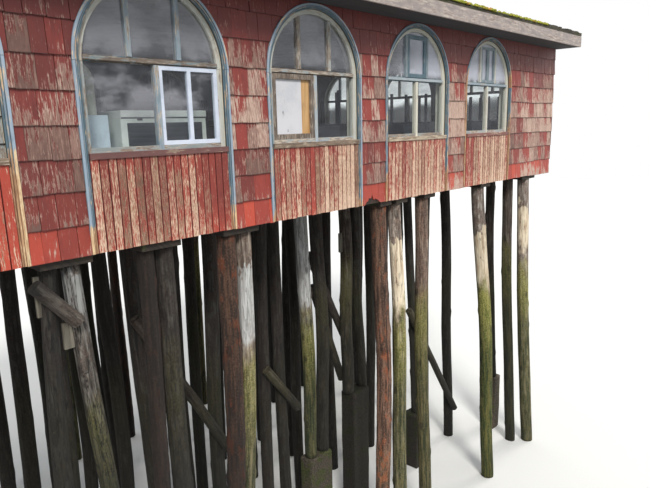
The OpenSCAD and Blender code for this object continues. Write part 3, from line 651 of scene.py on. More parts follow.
class Side:
    """One wall: u runs left to right seen from outside, out stands off its face, z is up.

    Its bays are the middle, radius and springing of the arch round each window, read from the
    CAD's casings that keep picks.
    """

    def __init__(self, name, turn, half_width, half_depth, casings, keep):
        self.name = name
        self.turn = math.radians(turn)
        self.half_width = half_width
        self.half_depth = half_depth
        self.bays = []
        for points in islands(casings):
            if not keep(points[0]):
                continue
            across = [self.along(p) for p in points]
            centre = (min(across) + max(across)) / 2
            radius = (max(across) - min(across)) / 2
            top = max(p.z for p in points)
            self.bays.append((centre, radius, top - radius))
        self.bays.sort()

    def along(self, point):
        """How far along the wall a point is."""
        return point.x * math.cos(self.turn) + point.y * math.sin(self.turn)

    def at(self, u, out, z):
        """The point at a place on the wall."""
        cos, sin = math.cos(self.turn), math.sin(self.turn)
        depth = self.half_depth + out
        return Vector((u * cos + depth * sin, u * sin - depth * cos, z))


FRONT = Side("front", 0, HALF_L, HALF_D, "front_casings", lambda p: True)
BACK = Side("back", 180, HALF_L, HALF_D, "back_casings", lambda p: True)
RIGHT = Side("right", 90, HALF_D, HALF_L, "end_casings", lambda p: p.x > 0)
LEFT = Side("left", -90, HALF_D, HALF_L, "end_casings", lambda p: p.x < 0)
SIDES = (FRONT, BACK, RIGHT, LEFT)


def bay_top(side, u, inset):
    """How high a window bay reaches at a place along the wall, or None between bays."""
    for centre, radius, spring in side.bays:
        reach = radius - inset
        if abs(u - centre) < reach:
            return spring + math.sqrt(reach ** 2 - (u - centre) ** 2)
    return None


# Shingled walls

EXPOSURE = 0.263
# How far a shingle reaches under the course above it
HEAD_LAP = 0.02
SHINGLE_W = 0.16
SHINGLE_T = 0.015
SHINGLE_HEAD_T = 0.007
# Wear, freshness and tone of the courses, from the lowest up. The fresh, pale lowest course is partly
# painted sunlight and the low tones of the top courses are painted eave shade
COURSE_WEAR = (0.26, 0.36, 0.66, 0.70, 0.74, 0.64, 0.42, 0.22, 0.08)
COURSE_FRESH = (0.75, 0.15, 0.05, 0.0, 0.0, 0.0, 0.0, 0.0, 0.0)
COURSE_TONE = (0.80, 0.40, 0.35, 0.60, 0.70, 0.60, 0.50, 0.35, 0.15)
# The first course that lies in the eave's shade; it and the courses above are painted darker as eave shade
SHADED_COURSE = 7
# From where the front wall's wood is paler, and up to where its shingles are painted darker as shade
RIGHT_END_U = 5.2
LEFT_END_U = -2.6
# How far the courses run past a corner, and the widths under which a shingle is left out or
# joined to the one before it
CORNER_LAP = 0.02
SHINGLE_LEAST = 0.02
SHINGLE_NARROW = 0.05
# Half the width of a casing
CASING_HALF = 0.030
# Middle, half width and height of the broken place
BREAK_U = 0.955
BREAK_HALF = 0.17
BREAK_H = 0.13


def broken_edge(u):
    """How far the broken shingles between two windows are snapped off above their butts."""
    share = 1 - abs(u - BREAK_U) / BREAK_HALF
    if share <= 0:
        return 0.0
    teeth = 0.5 + 0.5 * math.sin(u * 190) * math.sin(u * 83 + 1)
    return BREAK_H * share * (0.45 + 0.75 * teeth)


SHINGLE_STEP = 0.022
# How near the wall a shingle's back lies
SHINGLE_BACK = 0.001
# The least height that is left of a shingle cut at a window
CUT_LEAST = 0.004


def shingle(shape, place, left, right, butt, head, rng, state, limits, low_at, thick):
    """One shingle: thick at its butt, thin at its head, cut where low_at or limits say."""
    steps = max(4, math.ceil((right - left) / SHINGLE_STEP))
    seed = rng.uniform(0, 60)
    curl = rng.uniform(-0.002, 0.004)
    twist = rng.uniform(-0.003, 0.003)
    tilt = rng.uniform(-0.004, 0.004)
    columns = []
    for i in range(steps + 1):
        share = i / steps
        u = left + (right - left) * share
        worn = 0.004 * noise.noise(Vector((u * 37.0, butt * 11.0, seed)))
        edge = butt + worn + tilt * (share - 0.5)
        low = low_at(u, edge)
        top = min(head, limits(u))
        columns.append((u, low, top))
    last = None
    for i, (u, low, top) in enumerate(columns):
        if top - low < CUT_LEAST:
            close_side(shape, last)
            last = None
            continue
        ring = []
        for k in range(3):
            z = low + (top - low) * k / 2
            lift = max(0.0, 1 - (z - butt) / (head - butt))
            out = SHINGLE_HEAD_T + thick * lift + (curl * lift ** 2) + twist * lift * (i / steps - 0.5)
            ring.append(shape.add(place(u, out, z), (u - left, z - butt, seed), state))
        for z in (low, top):
            ring.append(shape.add(place(u, SHINGLE_BACK, z), (u - left, z - butt, seed), state))
        if last is None:
            shape.faces.append((ring[3], ring[0], ring[1]))
            shape.faces.append((ring[3], ring[1], ring[2], ring[4]))
        else:
            shape.faces.append((last[0], ring[0], ring[1], last[1]))
            shape.faces.append((last[1], ring[1], ring[2], last[2]))
            shape.faces.append((last[3], ring[3], ring[0], last[0]))
        last = ring
    close_side(shape, last)


def close_side(shape, ring):
    """Closes a shingle's right side."""
    if ring:
        shape.faces.append((ring[0], ring[3], ring[1]))
        shape.faces.append((ring[1], ring[3], ring[4], ring[2]))


# How far a course sags or rises
SAG = 0.011


def course_line(u, course):
    """The slow sag of a course along the wall."""
    return SAG * noise.noise(Vector((u * 0.9, course * 3.1, 4.0)))


def shingle_state(side, middle, course, rng):
    """Wear, tone and freshness of one shingle, with painted shade under the eave and at the front's left
    end.

    Here and there one is much newer or much older than its course.
    """
    row = min(course, len(COURSE_WEAR) - 1)
    swing = 0.30 if 0 < row < SHADED_COURSE else 0.12
    wear = COURSE_WEAR[row] + rng.uniform(-swing, swing)
    odd = rng.random()
    if 1 < row < SHADED_COURSE and odd < 0.11:
        wear = 0.16
    if row in (1, SHADED_COURSE - 1) and odd > 0.85:
        wear = 0.80
    tone = COURSE_TONE[row] + rng.uniform(-0.22, 0.22)
    paler = side is FRONT and (middle > RIGHT_END_U or side.bays[3][0] < middle < side.bays[4][0])
    if paler and row < SHADED_COURSE - 1:
        wear += 0.22 if row else 0.34
        tone += 0.25
    # Painted eave shade: the top courses are darker, most towards the right
    if row >= SHADED_COURSE:
        tone -= 0.15 if middle < 2.0 else 0.35
    # Painted shade at the left end of the front
    if side is FRONT and middle < LEFT_END_U:
        tone -= 0.30
    fresh = COURSE_FRESH[row] * rng.uniform(0.3, 1.2)
    return (max(0.0, wear), tone, min(1.0, fresh))


def shingled_wall(side, limit):
    """A wall's shingles, course by course, cut round the bays."""
    shape = Shape()
    rng = random.Random("shingles " + side.name)
    courses = math.ceil((limit(0) - WALL_Z) / EXPOSURE) + 1

    def low_at(u, edge):
        """Where a shingle begins: at its own edge, or higher over a window or where it broke."""
        blocked = bay_top(side, u, CASING_HALF)
        low = edge if blocked is None else max(edge, blocked)
        broken = side is FRONT and edge < WALL_Z + 0.1
        return low + broken_edge(u) if broken else low

    for course in range(courses):
        base = WALL_Z + course * EXPOSURE - 0.004
        u = -side.half_width - rng.uniform(0.006, 0.024)
        end = side.half_width + CORNER_LAP
        while end - u >= SHINGLE_LEAST:
            width = SHINGLE_W * rng.uniform(0.72, 1.25)
            right = min(u + width, end + rng.uniform(-0.014, 0.004))
            if end - right < SHINGLE_NARROW:
                right = end + rng.uniform(-0.014, 0.004)
            middle = (u + right) / 2
            butt = base + course_line(middle, course) + rng.uniform(-0.004, 0.004)
            state = shingle_state(side, middle, course, rng)
            if right - u > SHINGLE_LEAST:
                shingle(shape, side.at, u, right - rng.uniform(0.002, 0.006), butt,
                        butt + EXPOSURE + HEAD_LAP, rng, state, limit, low_at, SHINGLE_T)
            u = right
    shape.make(side.name + "_shingles", "shingle")


def eave_limit(u):
    """The underside of the soffit, the same all along a wall."""
    return SOFFIT_Z - 0.002


# How far the verge boards reach down over an end wall
VERGE_H = 0.15


def gable_limit(u):
    """The underside of the verge boards on an end wall."""
    return RIDGE_WALL_Z - VERGE_H - (RIDGE_WALL_Z - WALL_TOP) * abs(u) / HALF_D


for wall in SIDES:
    shingled_wall(wall, eave_limit if wall in (FRONT, BACK) else gable_limit)


# Bars: boards, casing strips and window frames are swept along the wall


def sweep(shape, side, path, half, back, front, state_at, seed, ease=0.003, shade=0.0):
    """A bar along a path in the plane of a wall, with eased front edges and a slight bow.

    shade is how much darker its sides are painted, as painted shade in the gaps between bars.
    """
    section = ((-half, back), (-half, front - ease), (ease - half, front),
               (half - ease, front), (half, front - ease), (half, back))
    rings = []
    run = 0.0
    last = None
    for u, z, across, up in path:
        if last:
            run += math.hypot(u - last[0], z - last[1])
        last = (u, z)
        wave = 0.0012 * noise.noise(Vector((run * 3.0, seed, 2.0)))
        state = state_at(z)
        # Painted shade: the bar's sides get a deeper, less fresh state
        dim = (state[0] - shade, state[1] - shade, state[2] * (1 - shade))
        rings.append([shape.add(side.at(u + across * (s + wave), d, z + up * (s + wave)),
                                (s + d, run, seed), dim if abs(s) == half else state) for s, d in section])
    shape.tube(rings)


def upright(u, low, high, steps=4):
    """A path up the wall."""
    return [(u, low + (high - low) * i / steps, 1.0, 0.0) for i in range(steps + 1)]


def level(u_low, u_high, z, steps=8):
    """A path along the wall."""
    return [(u_low + (u_high - u_low) * i / steps, z, 0.0, -1.0) for i in range(steps + 1)]


def between(values, share):
    """A value at a share of a row of evenly spaced ones."""
    place = share * (len(values) - 1)
    i = min(int(place), len(values) - 2)
    return values[i] + (values[i + 1] - values[i]) * (place - i)


# Boards below the windows

BOARD_W = 0.077
BOARD_T = 0.020
BOARD_EASE = 0.004
# How much darker the boards' sides are painted, as painted shade in the grooves between them
GROOVE_SHADE = 0.9
# Wear across each bay of the front, freshness and tone, from left to right
APRON_LOOKS = (
    ((0.22, 0.20, 0.30), 0.75, 0.50),
    ((0.42, 0.44, 0.38, 0.46, 0.50, 0.44, 0.50, 0.42, 0.28, 0.22, 0.22), 0.30, 0.45),
    ((0.30, 0.46, 0.46, 0.42, 0.16, 0.60, 0.56, 0.46, 0.84, 0.88, 0.84), 0.30, 0.65),
    ((0.32, 0.50, 0.46, 0.56, 0.54, 0.64, 0.52, 0.58, 0.36), 0.30, 0.85),
    ((0.28, 0.40, 0.50, 0.56, 0.64, 0.66, 0.70, 0.56), 0.10, 0.90),
)
PLAIN_APRON = ((0.60, 0.50, 0.66, 0.52), 0.25, 0.60)


def aprons():
    """The narrow upright boards of all bays."""
    shape = Shape()
    rng = random.Random("aprons")
    for side in SIDES:
        for number, (centre, radius, spring) in enumerate(side.bays):
            half = radius - 2 * CASING_HALF
            wears, ripe, pale = APRON_LOOKS[number] if side is FRONT else PLAIN_APRON
            count = round(2 * half / BOARD_W)
            for i in range(count):
                wear = between(wears, (i + 0.5) / count) + rng.uniform(-0.15, 0.15)
                tone = pale + rng.uniform(-0.4, 0.3)
                fresh = ripe * rng.uniform(0.4, 1.3)
                top_wear = rng.uniform(0.05, 0.30)

                def state_at(z):
                    """Redder at the top; paler and fresher near the wall's foot, partly from wear and partly
                    as painted sunlight.
                    """
                    share = (z - WALL_Z) / (APRON_TOP - WALL_Z)
                    high = max(0.0, share - 0.75) / 0.25
                    low = max(0.0, 0.35 - share) / 0.35
                    return (wear + 0.08 * low - top_wear * high, tone + 0.25 * low,
                            min(1.0, fresh + 0.35 * low))

                middle = centre - half + 2 * half * (i + 0.5) / count
                width = half / count - rng.uniform(0.0022, 0.0036)
                low = WALL_Z - rng.uniform(-0.003, 0.006)
                front = BOARD_T - rng.uniform(0.0, 0.0025)
                sweep(shape, side, upright(middle, low, APRON_TOP, 8), width, 0.0, front, state_at,
                      rng.uniform(0, 60), BOARD_EASE, GROOVE_SHADE)
    shape.make("apron_board_rows", "apron", ("apron_boards",))


aprons()


# Casings: bent strips laid one inside the other, with a joint at the springing

# Inner and outer offset of a strip, how far it stands out and how much darker it is
STRIPS = ((0.000, 0.016, 0.014, 0.5), (0.016, 0.034, 0.021, 0.3), (0.034, 0.060, 0.030, 0.0))
# Paleness of each casing of the front, from left to right
CASING_TONE = (0.80, 0.70, 0.70, 0.50, 0.45)
# How high the left and right strips of each front casing are bare
BARE_TO = ((0.50, 0.80), (0.26, 0.28), (0.08, 0.10), (0.40, 0.36), (1.60, 1.10))
# Half the joint at the springing, and half the groove between two strips
JOINT = 0.0015
STRIP_GAP = 0.0006
ARCH_STEPS, LEG_STEPS = 56, 12


def arch_path(part, centre, spring, reach, low):
    """Points of a strip's middle line, with the direction across the strip at each."""
    if part == "arch":
        turns = [math.pi * i / ARCH_STEPS for i in range(ARCH_STEPS + 1)]
        return [(centre - reach * math.cos(t), spring + JOINT + reach * math.sin(t),
                 math.cos(t), -math.sin(t)) for t in turns]
    sign = -1 if part == "left" else 1
    levels = [low + (spring - JOINT - low) * i / LEG_STEPS for i in range(LEG_STEPS + 1)]
    return [(centre + sign * reach, z, 1.0, 0.0) for z in levels]


def casings(side, node):
    """Casings of one wall."""
    shape = Shape()
    rng = random.Random("casings " + side.name)
    for number, (centre, radius, spring) in enumerate(side.bays):
        tone = CASING_TONE[number] if side is FRONT else rng.uniform(0.4, 0.85)
        for part in ("left", "arch", "right"):
            bare = BARE_TO[number][part == "right"] if side is FRONT else 0.36
            cream = WALL_Z + bare * rng.uniform(0.85, 1.15)
            for start, end, out, dull in STRIPS:
                reach = radius - 2 * CASING_HALF + (start + end) / 2
                path = arch_path(part, centre, spring, reach, WALL_Z)
                worn = rng.uniform(0.24, 0.40)

                def state_at(z):
                    """Blue above, bare from the level called cream down."""
                    low = min(1.0, max(0.0, (cream - z) / 0.12))
                    return (worn + 0.85 * low, tone - dull, max(0.0, tone - 0.30 - dull))

                # The strips' sides are painted darker as shade in the gaps between them
                sweep(shape, side, path, (end - start) / 2 - STRIP_GAP, 0.0,
                      out - rng.uniform(0, 0.0015), state_at, rng.uniform(0, 60), shade=0.5)
    shape.make(side.name + "_casing_strips", "casing", (node,))


casings(FRONT, "front_casings")
casings(BACK, "back_casings")
casings(RIGHT, "end_casings")
casings(LEFT, "end_casings")


# Window frames, bar by bar

BAR = 0.045
RAIL_H = 0.060
# The transom's lower and upper edge above the springing, and how far its middle stands forward
TRANSOM_LOW, TRANSOM_HIGH = 0.005, 0.060
TRANSOM_STEP = 0.016
TRANSOM_MOULDING = 0.62
# How far the upper bars stand from the middle, and how far they run into the ring
UPPER_BAR = 0.240
BAR_TENON = 0.012
FRAME_FRONT, FRAME_BACK = -0.020, -0.080
SILL_Z = APRON_TOP + 0.030
SILL_HALF, SILL_BACK, SILL_FRONT = 0.025, -0.030, 0.035
# Wear, tone and freshness of the ring, transom, upper bars and post of the front's windows
FRAME_LOOKS = (
    ((0.45, 0.4, 0.3), (0.50, 0.4, 0.4), (0.40, 0.5, 0.6), (0.50, 0.5, 0.5)),
    ((0.34, 0.7, 0.7), (0.62, 0.3, 0.2), (0.34, 0.6, 0.1), (0.34, 0.6, 0.05)),
    ((0.28, 0.8, 0.7), (0.72, 0.6, 0.2), (0.58, 0.6, 0.3), (0.36, 0.9, 0.1)),
    ((0.22, 0.9, 0.9), (0.25, 0.8, 0.2), (0.25, 0.4, 0.1), (0.20, 0.9, 1.0)),
    ((0.22, 0.9, 0.9), (0.30, 0.6, 0.1), (0.30, 0.6, 0.7), (0.30, 0.9, 0.9)),
)
RAIL_LOOKS = ((0.50, 0.5, 0.3), (0.40, 0.4, 0.3), (0.50, 0.7, 0.2), (0.55, 0.5, 0.2), (0.45, 0.6, 0.2))
SILL_LOOKS = ((0.60, 0.5, 0.0), (0.16, 0.3, 0.0), (0.85, 0.4, 0.2), (0.80, 0.8, 0.0), (0.30, 0.6, 0.0))


def window_frames(side, node):
    """The rings, transoms, bars, posts and rails of one wall's windows, and their sills."""
    shape = Shape()
    sills = Shape()
    rng = random.Random("frames " + side.name)
    for number, (centre, radius, spring) in enumerate(side.bays):
        open_r = radius - 2 * CASING_HALF
        light_r = open_r - BAR
        odd = rng.randrange(len(FRAME_LOOKS))
        looks = FRAME_LOOKS[number if side is FRONT else odd]

        def bar(path, half, look, back=FRAME_BACK, front=FRAME_FRONT, into=shape):
            """A bar whose look differs a little from the one that is asked for."""
            state = tuple(value + rng.uniform(-0.06, 0.06) for value in look)
            sweep(into, side, path, half, back, front, lambda z: state, rng.uniform(0, 60))

        for part in ("left", "arch", "right"):
            # The left part of each ring, whose inner face looks away from the light, is painted darker and
            # less fresh as shade
            ring_look = (looks[0][0], looks[0][1] * 0.7, looks[0][2] * 0.4) if part == "left" else looks[0]
            bar(arch_path(part, centre, spring, open_r - BAR / 2, SILL_Z), BAR / 2 - 0.0004, ring_look)
        transom = (TRANSOM_HIGH - TRANSOM_LOW) / 2
        beam = level(centre - light_r, centre + light_r, spring + TRANSOM_LOW + transom)
        # The transom's back bar is painted dark as shade above and below its moulding
        bar(beam, transom, (looks[1][0], 0.1, 0.0), front=FRAME_FRONT - TRANSOM_STEP)
        bar(beam, transom * TRANSOM_MOULDING, looks[1], FRAME_FRONT - TRANSOM_STEP, FRAME_FRONT + 0.006)
        for u in (-UPPER_BAR, UPPER_BAR):
            high = spring + math.sqrt(light_r ** 2 - (abs(u) + BAR / 2) ** 2) + BAR_TENON
            bar(upright(centre + u, spring + TRANSOM_HIGH, high), BAR / 2, looks[2])
        bar(upright(centre, SILL_Z, spring + TRANSOM_LOW), BAR / 2, looks[3], front=FRAME_FRONT + 0.002)
        rail = RAIL_LOOKS[number if side is FRONT else odd]
        bar(level(centre - light_r, centre + light_r, SILL_Z + RAIL_H / 2), RAIL_H / 2, rail,
            front=FRAME_FRONT - 0.002)
        look = SILL_LOOKS[number if side is FRONT else odd]
        bar(level(centre - open_r + 0.001, centre + open_r - 0.001, SILL_Z - 0.005, 16), SILL_HALF, look,
            SILL_BACK, SILL_FRONT, sills)
    shape.make(side.name + "_window_bars", "frame", (node,))
    sills.make(side.name + "_window_sills", "sill", (node,))


window_frames(FRONT, "front_window_frames")
window_frames(BACK, "back_window_frames")
window_frames(RIGHT, "end_window_frames")
window_frames(LEFT, "end_window_frames")


# Rods in front of the first window

ROD_LOW = 6.52
ROD_STEP = 0.195
ROD_R = 0.005
ROD_OUT = -0.013
ROD_RINGS = 24


def window_rods():
    """Thin level rods one above the other, each with a slight sag."""
    shape = Shape()
    centre, radius, spring = FRONT.bays[0]
    reach = radius - 2 * CASING_HALF
    rod_z = ROD_LOW
    while rod_z < spring - 0.05:
        rings = []
        for i in range(ROD_RINGS + 1):
            u = centre - reach + 2 * reach * i / ROD_RINGS
            sag = 0.003 * noise.noise(Vector((u * 4.0, rod_z, 9.0)))
            turns = [math.pi * k / 4 for k in range(8)]
            points = [(ROD_OUT - ROD_R * math.cos(t), rod_z + sag + ROD_R * math.sin(t)) for t in turns]
            rings.append([shape.add(FRONT.at(u, out, z)) for out, z in points])
        shape.tube(rings)
        rod_z += ROD_STEP
    shape.make("window_rods", "rod", smooth=True)


window_rods()


# Logs

# Points above this level belong to a log's head
HEAD_FROM_Z = 5.0
# Above and below these levels a log keeps the painted light and shade of its head and of its lower end
HEAD_TONE_Z = 5.0
LOW_TONE_Z = 3.0


class Look:
    """How a log has weathered and how it is lit, from 0 to 1, and the levels of its band of painted sunlight
    and its moss.

    tone is its painted light and shade at the head and low that further down. patch is the middle of the
    band of painted sunlight, drawn as stripped wood, and half its length, and brown, crack and pale say how
    brown the wood is, how cracked, and how grey the sunlit band.
    """

    def __init__(self, tone, low, rust, moss, moss_top, patch=(-5.0, 0.0), brown=0.3, crack=0.2, pale=0.0):
        self.tone = tone
        self.low = low
        self.rust = rust
        self.moss = moss
        self.bands = (*patch, moss_top)
        self.bark = (crack, brown, pale)

    def state(self, z):
        """Painted light and shade, rust and moss at a level."""
        share = min(1.0, max(0.0, (z - LOW_TONE_Z) / (HEAD_TONE_Z - LOW_TONE_Z)))
        return (self.low + (self.tone - self.low) * share, self.rust, self.moss)


# The front logs and the row behind them, from the right corner on; their tones are painted light and shade
FRONT_LOOKS = (
    Look(0.95, 1.00, 0.0, 0.8, 3.95, (4.58, 0.42), 0.35),
    Look(0.14, 0.09, 0.1, 0.8, 3.6),
    Look(0.32, 0.20, 0.1, 0.9, 4.3, brown=0.5),
    Look(0.80, 1.00, 0.0, 1.0, 4.0, (4.34, 0.50), 0.3),
    Look(0.72, 0.75, 0.2, 0.8, 4.1, brown=0.8),
    Look(1.00, 1.00, 0.0, 0.8, 4.1, (4.50, 0.52), 0.4, 0.4),
    Look(0.50, 0.80, 0.9, 0.1, 2.0, brown=0.8, crack=0.0),
    Look(0.80, 0.80, 0.0, 0.75, 4.3, (4.72, 0.34), 0.6, 0.3, 1.0),
    Look(0.32, 0.08, 1.0, 0.1, 2.0, brown=0.8, crack=0.0),
    Look(0.12, 0.07, 0.1, 0.5, 4.6, brown=0.3, crack=0.4),
    Look(0.06, 0.05, 0.8, 0.1, 1.5, brown=0.8),
    Look(0.46, 0.03, 0.0, 0.7, 4.35, (5.20, 0.25), 0.2, 1.0, 1.0),
    Look(0.05, 0.03, 0.1, 0.4, 4.6, crack=1.0),
    Look(0.40, 0.30, 0.1, 0.5, 3.6, (4.50, 0.20), crack=0.5),
    Look(0.42, 0.30, 0.5, 0.4, 3.0, brown=0.6),
    Look(0.50, 0.40, 0.1, 0.6, 3.8, (4.60, 0.30)),
)
SECOND_LOOKS = (
    Look(0.06, 0.05, 0.0, 0.5, 4.0), Look(0.05, 0.05, 0.0, 0.5, 4.0), Look(0.12, 0.08, 0.0, 0.6, 4.4),
    Look(0.40, 0.12, 0.0, 0.6, 4.7, brown=0.4), Look(0.10, 0.08, 0.1, 0.6, 4.4),
    Look(1.00, 0.60, 0.0, 0.9, 3.95, (4.75, 0.75), 0.1, 0.4, 1.0), Look(0.07, 0.05, 0.2, 0.4, 3.5),
    Look(0.08, 0.05, 0.3, 0.3, 3.0),
)


def log_rings(points):
    """The CAD log's rings from foot to head: level, middle and radius by direction."""
    levels = {}
    for p in points:
        levels.setdefault(round(p.z, 3), []).append(p)
    rings = []
    for height in sorted(levels):
        ring = np.array([(p.x, p.y) for p in levels[height]])
        middle = ring.mean(0)
        arms = ring - middle
        turns = np.arctan2(arms[:, 1], arms[:, 0])
        order = np.argsort(turns)
        rings.append((height, middle, turns[order], np.hypot(*arms.T)[order]))
    return rings


def smooth_between(values, share):
    """A smooth curve through evenly spaced values, at a share of its length."""
    count = len(values) - 1
    place = min(max(share, 0.0), 1.0) * count
    i = min(int(place), count - 1)
    t = place - i
    before = values[max(i - 1, 0)]
    here = values[i]
    there = values[i + 1]
    beyond = values[min(i + 2, count)]
    return 0.5 * (2 * here + (there - before) * t + (2 * before - 5 * here + 4 * there - beyond) * t ** 2
                  + (3 * here - before - 3 * there + beyond) * t ** 3)


# Half the height of a knot in metres, and half its width in radians round the log
KNOT_TALL, KNOT_WIDE = 0.055, 0.42


def log_relief(knots, rust, seed, turn, z):
    """How far ridges and knots lift a log's skin, turn being the angle round it."""
    cos, sin = math.cos(turn), math.sin(turn)
    ridge = 0.007 * noise.noise(Vector((cos * 2.6, sin * 2.6, z * 0.55 + seed)))
    ridge += 0.004 * noise.noise(Vector((cos * 7.0, sin * 7.0, z * 1.6 + seed)))
    ridge += rust * 0.008 * noise.noise(Vector((cos * 4.0, sin * 4.0, z * 9.0 + seed)))
    for knot_z, knot_turn, size in knots:
        gap = (turn - knot_turn + math.pi) % (2 * math.pi) - math.pi
        near = ((z - knot_z) / KNOT_TALL) ** 2 + (gap / KNOT_WIDE) ** 2
        if near < 6:
            ridge += size * math.exp(-near)
    return ridge


def grow_log(shape, points, look, rng, sides, step):
    """A log with knots and ridges round the line and girth of the CAD's."""
    rings = log_rings(points)
    low, high = rings[0][0], rings[-1][0]
    turns = [2 * math.pi * i / sides for i in range(sides)]
    middles = [ring[1] for ring in rings]
    girths = [np.interp(turns, ring[2], ring[3], period=2 * math.pi) for ring in rings]
    seed = rng.uniform(0, 90)
    knots = [(rng.uniform(low + 0.3, high - 0.2), rng.uniform(0, 6.28), rng.uniform(0.006, 0.020))
             for _ in range(rng.randint(6, 11))]
    count = max(8, round((high - low) / step))
    made = []
    for k in range(count + 1):
        share = k / count
        z = low + (high - low) * share
        middle = smooth_between(middles, share)
        girth = smooth_between(girths, share)
        ring = []
        for i, turn in enumerate(turns):
            reach = girth[i] + log_relief(knots, look.rust, seed, turn, z)
            across, deep = reach * math.cos(turn), reach * math.sin(turn)
            ring.append(shape.add((middle[0] + across, middle[1] + deep, z), (across, z, deep + seed),
                                  look.state(z), bands=look.bands, bark=look.bark))
        made.append(ring)
    shape.tube(made)


def log_row(node, looks, sides, step, seed):
    """A row of logs, from the right corner on. Those past the end of looks are painted nearly black as
    shade.

    sides is the number of points round a log and step the height between its rings.
    """
    shape = Shape()
    rng = random.Random(seed)
    logs = sorted(islands(node), key=lambda pts: -np.mean([p.x for p in pts if p.z > HEAD_FROM_Z]))
    for i, points in enumerate(logs):
        dim = Look(0.06 * rng.uniform(0.5, 1.8), 0.05, 0.15, 0.5 * rng.uniform(0.4, 1.6), 3.8)
        grow_log(shape, points, looks[i] if i < len(looks) else dim, rng, sides, step)
    shape.make(node + "_logs", "log", (node,), smooth=True)


log_row("poles_row_1", FRONT_LOOKS, sides=36, step=0.05, seed=11)
log_row("poles_row_2", SECOND_LOOKS, sides=30, step=0.07, seed=12)
for row in (3, 4, 5, 6):
    log_row(f"poles_row_{row}", (), sides=20, step=0.14, seed=10 + row)
# Which front log each log of the back row looks like
BACK_ORDER = (3, 12, 9, 4, 0, 8, 5, 13, 10, 11, 2, 15)
log_row("poles_row_7", [FRONT_LOOKS[i] for i in BACK_ORDER], sides=30, step=0.07, seed=17)


# A direction that all braces rise in, and the length from which an edge runs along a brace
LEAN = Vector((0.4, 0.1, 1.0))
BRACE_EDGE = 0.15
# Where the rings of points along a brace begin, how far apart they are and where they stop
RING_FROM, RING_STEP, RING_TO = 0.05, 0.06, 0.02


def brace_axis(bm):
    """The direction up along a brace."""
    axis = Vector()
    for edge in bm.edges:
        arm = edge.verts[1].co - edge.verts[0].co
        if arm.length > BRACE_EDGE:
            axis += arm if arm.dot(LEAN) > 0 else -arm
    return axis.normalized()


def brace(shape, bm, number):
    """One brace with rings of points along it and an uneven girth, with painted shade that lightens towards
    one end.
    """
    axis = brace_axis(bm)
    side = axis.cross(Vector((0.0, 1.0, 0.0))).normalized()
    other = axis.cross(side)
    middle = Vector()
    for arm in (side, other):
        reach = [vert.co.dot(arm) for vert in bm.verts]
        middle += arm * (min(reach) + max(reach)) / 2
    runs = [vert.co.dot(axis) for vert in bm.verts]
    foot, head = min(runs), max(runs)
    run = foot + RING_FROM
    while run < head - RING_TO:
        geom = bm.verts[:] + bm.edges[:] + bm.faces[:]
        bmesh.ops.bisect_plane(bm, geom=geom, plane_co=axis * run, plane_no=axis)
        run += RING_STEP
    bm.verts.index_update()
    base = len(shape.points)
    for vert in bm.verts:
        across, along, deep = (vert.co.dot(arm) for arm in (side, axis, other))
        out = (vert.co - middle - axis * along).normalized()
        spot = Vector((across * 9.0, along * 2.2, deep * 9.0 + number * 5.0))
        swell = 0.006 * noise.noise(spot) - 0.002
        share = (along - foot) / (head - foot)
        # Painted shade along the brace, lighter towards one end
        tone = 0.24 * (1.2 - share) if number == 0 else 0.18 * (0.35 + 1.1 * max(0.0, share - 0.2))
        shape.add(vert.co + out * swell, (across, along, deep + number * 5.0), (tone, 0.1, 0.5),
                  bands=(0.0, 0.0, 3.6), bark=(0.3, 0.4, 0.0))
    shape.take_faces(bm, base)


def braces():
    """The round braces, with uneven girth and grain along them."""
    whole = copy_of("braces")
    shape = Shape()
    for number, part in enumerate(parts_of(whole)):
        if is_board(part):
            continue
        bm = whole.copy()
        stay = {tuple(vert.co) for vert in part}
        bmesh.ops.delete(bm, geom=[v for v in bm.verts if tuple(v.co) not in stay], context="VERTS")
        brace(shape, bm, number)
    whole.free()
    made = shape.make("brace_logs", "log", ("braces",), smooth=True)
    made.data.set_sharp_from_angle(angle=math.radians(50))


braces()
soften("braces", "cleat", 0.003, name="brace_cleats", only=is_board)


# Roof slopes

ROOF_TOP_EAVE = max(v.co.z for v in CAD["front_roof"].data.vertices if v.co.y < ROOF_LOW.y + 0.001)
ROOF_TILT = math.atan2(ROOF_HIGH.z - ROOF_TOP_EAVE, -ROOF_LOW.y)
ROOF_RUN = -ROOF_LOW.y / math.cos(ROOF_TILT)
ROOF_EXPOSURE = 0.25
# How far the deck lies under the shingles' faces, and how far its edge and the ridge stand back
DECK_DROP = 0.024
DECK_INSET = 0.012
DECK_FACES = ((0, 1, 3, 2), (4, 6, 7, 5), (0, 4, 5, 1), (0, 2, 6, 4), (2, 3, 7, 6), (1, 5, 7, 3))
# Thickness of the roof's shingles, and of those at the eave that curl up near the right corner
ROOF_SHINGLE_T = 0.013
CURLED_T = (0.018, 0.042)
CURLED_FROM = 4.9
# Half the gap between two shingles
SHINGLE_GAP = 0.002


def slope_place(sign):
    """Places a point of a roof slope: along the eave, out of the deck and up the slope."""
    def place(u, out, up):
        lift = out - DECK_DROP
        y = ROOF_LOW.y + up * math.cos(ROOF_TILT) - lift * math.sin(ROOF_TILT)
        z = ROOF_TOP_EAVE + up * math.sin(ROOF_TILT) + lift * math.cos(ROOF_TILT)
        return Vector((u, y, z)) if sign < 0 else Vector((-u, -y, z))
    return place


def roof_deck(shape, place, deep):
    """The slab under the shingles of a slope."""
    half = ROOF_HIGH.x - 0.004
    corners = []
    for u in (-half, half):
        for up in (DECK_INSET, ROOF_RUN):
            for out in (0.0, DECK_DROP - deep * math.cos(ROOF_TILT)):
                corners.append(shape.add(place(u, out, up), (up, u, 1.0), (0.5, 0.5, 0.0)))
    for face in DECK_FACES:
        shape.faces.append(tuple(corners[i] for i in face))


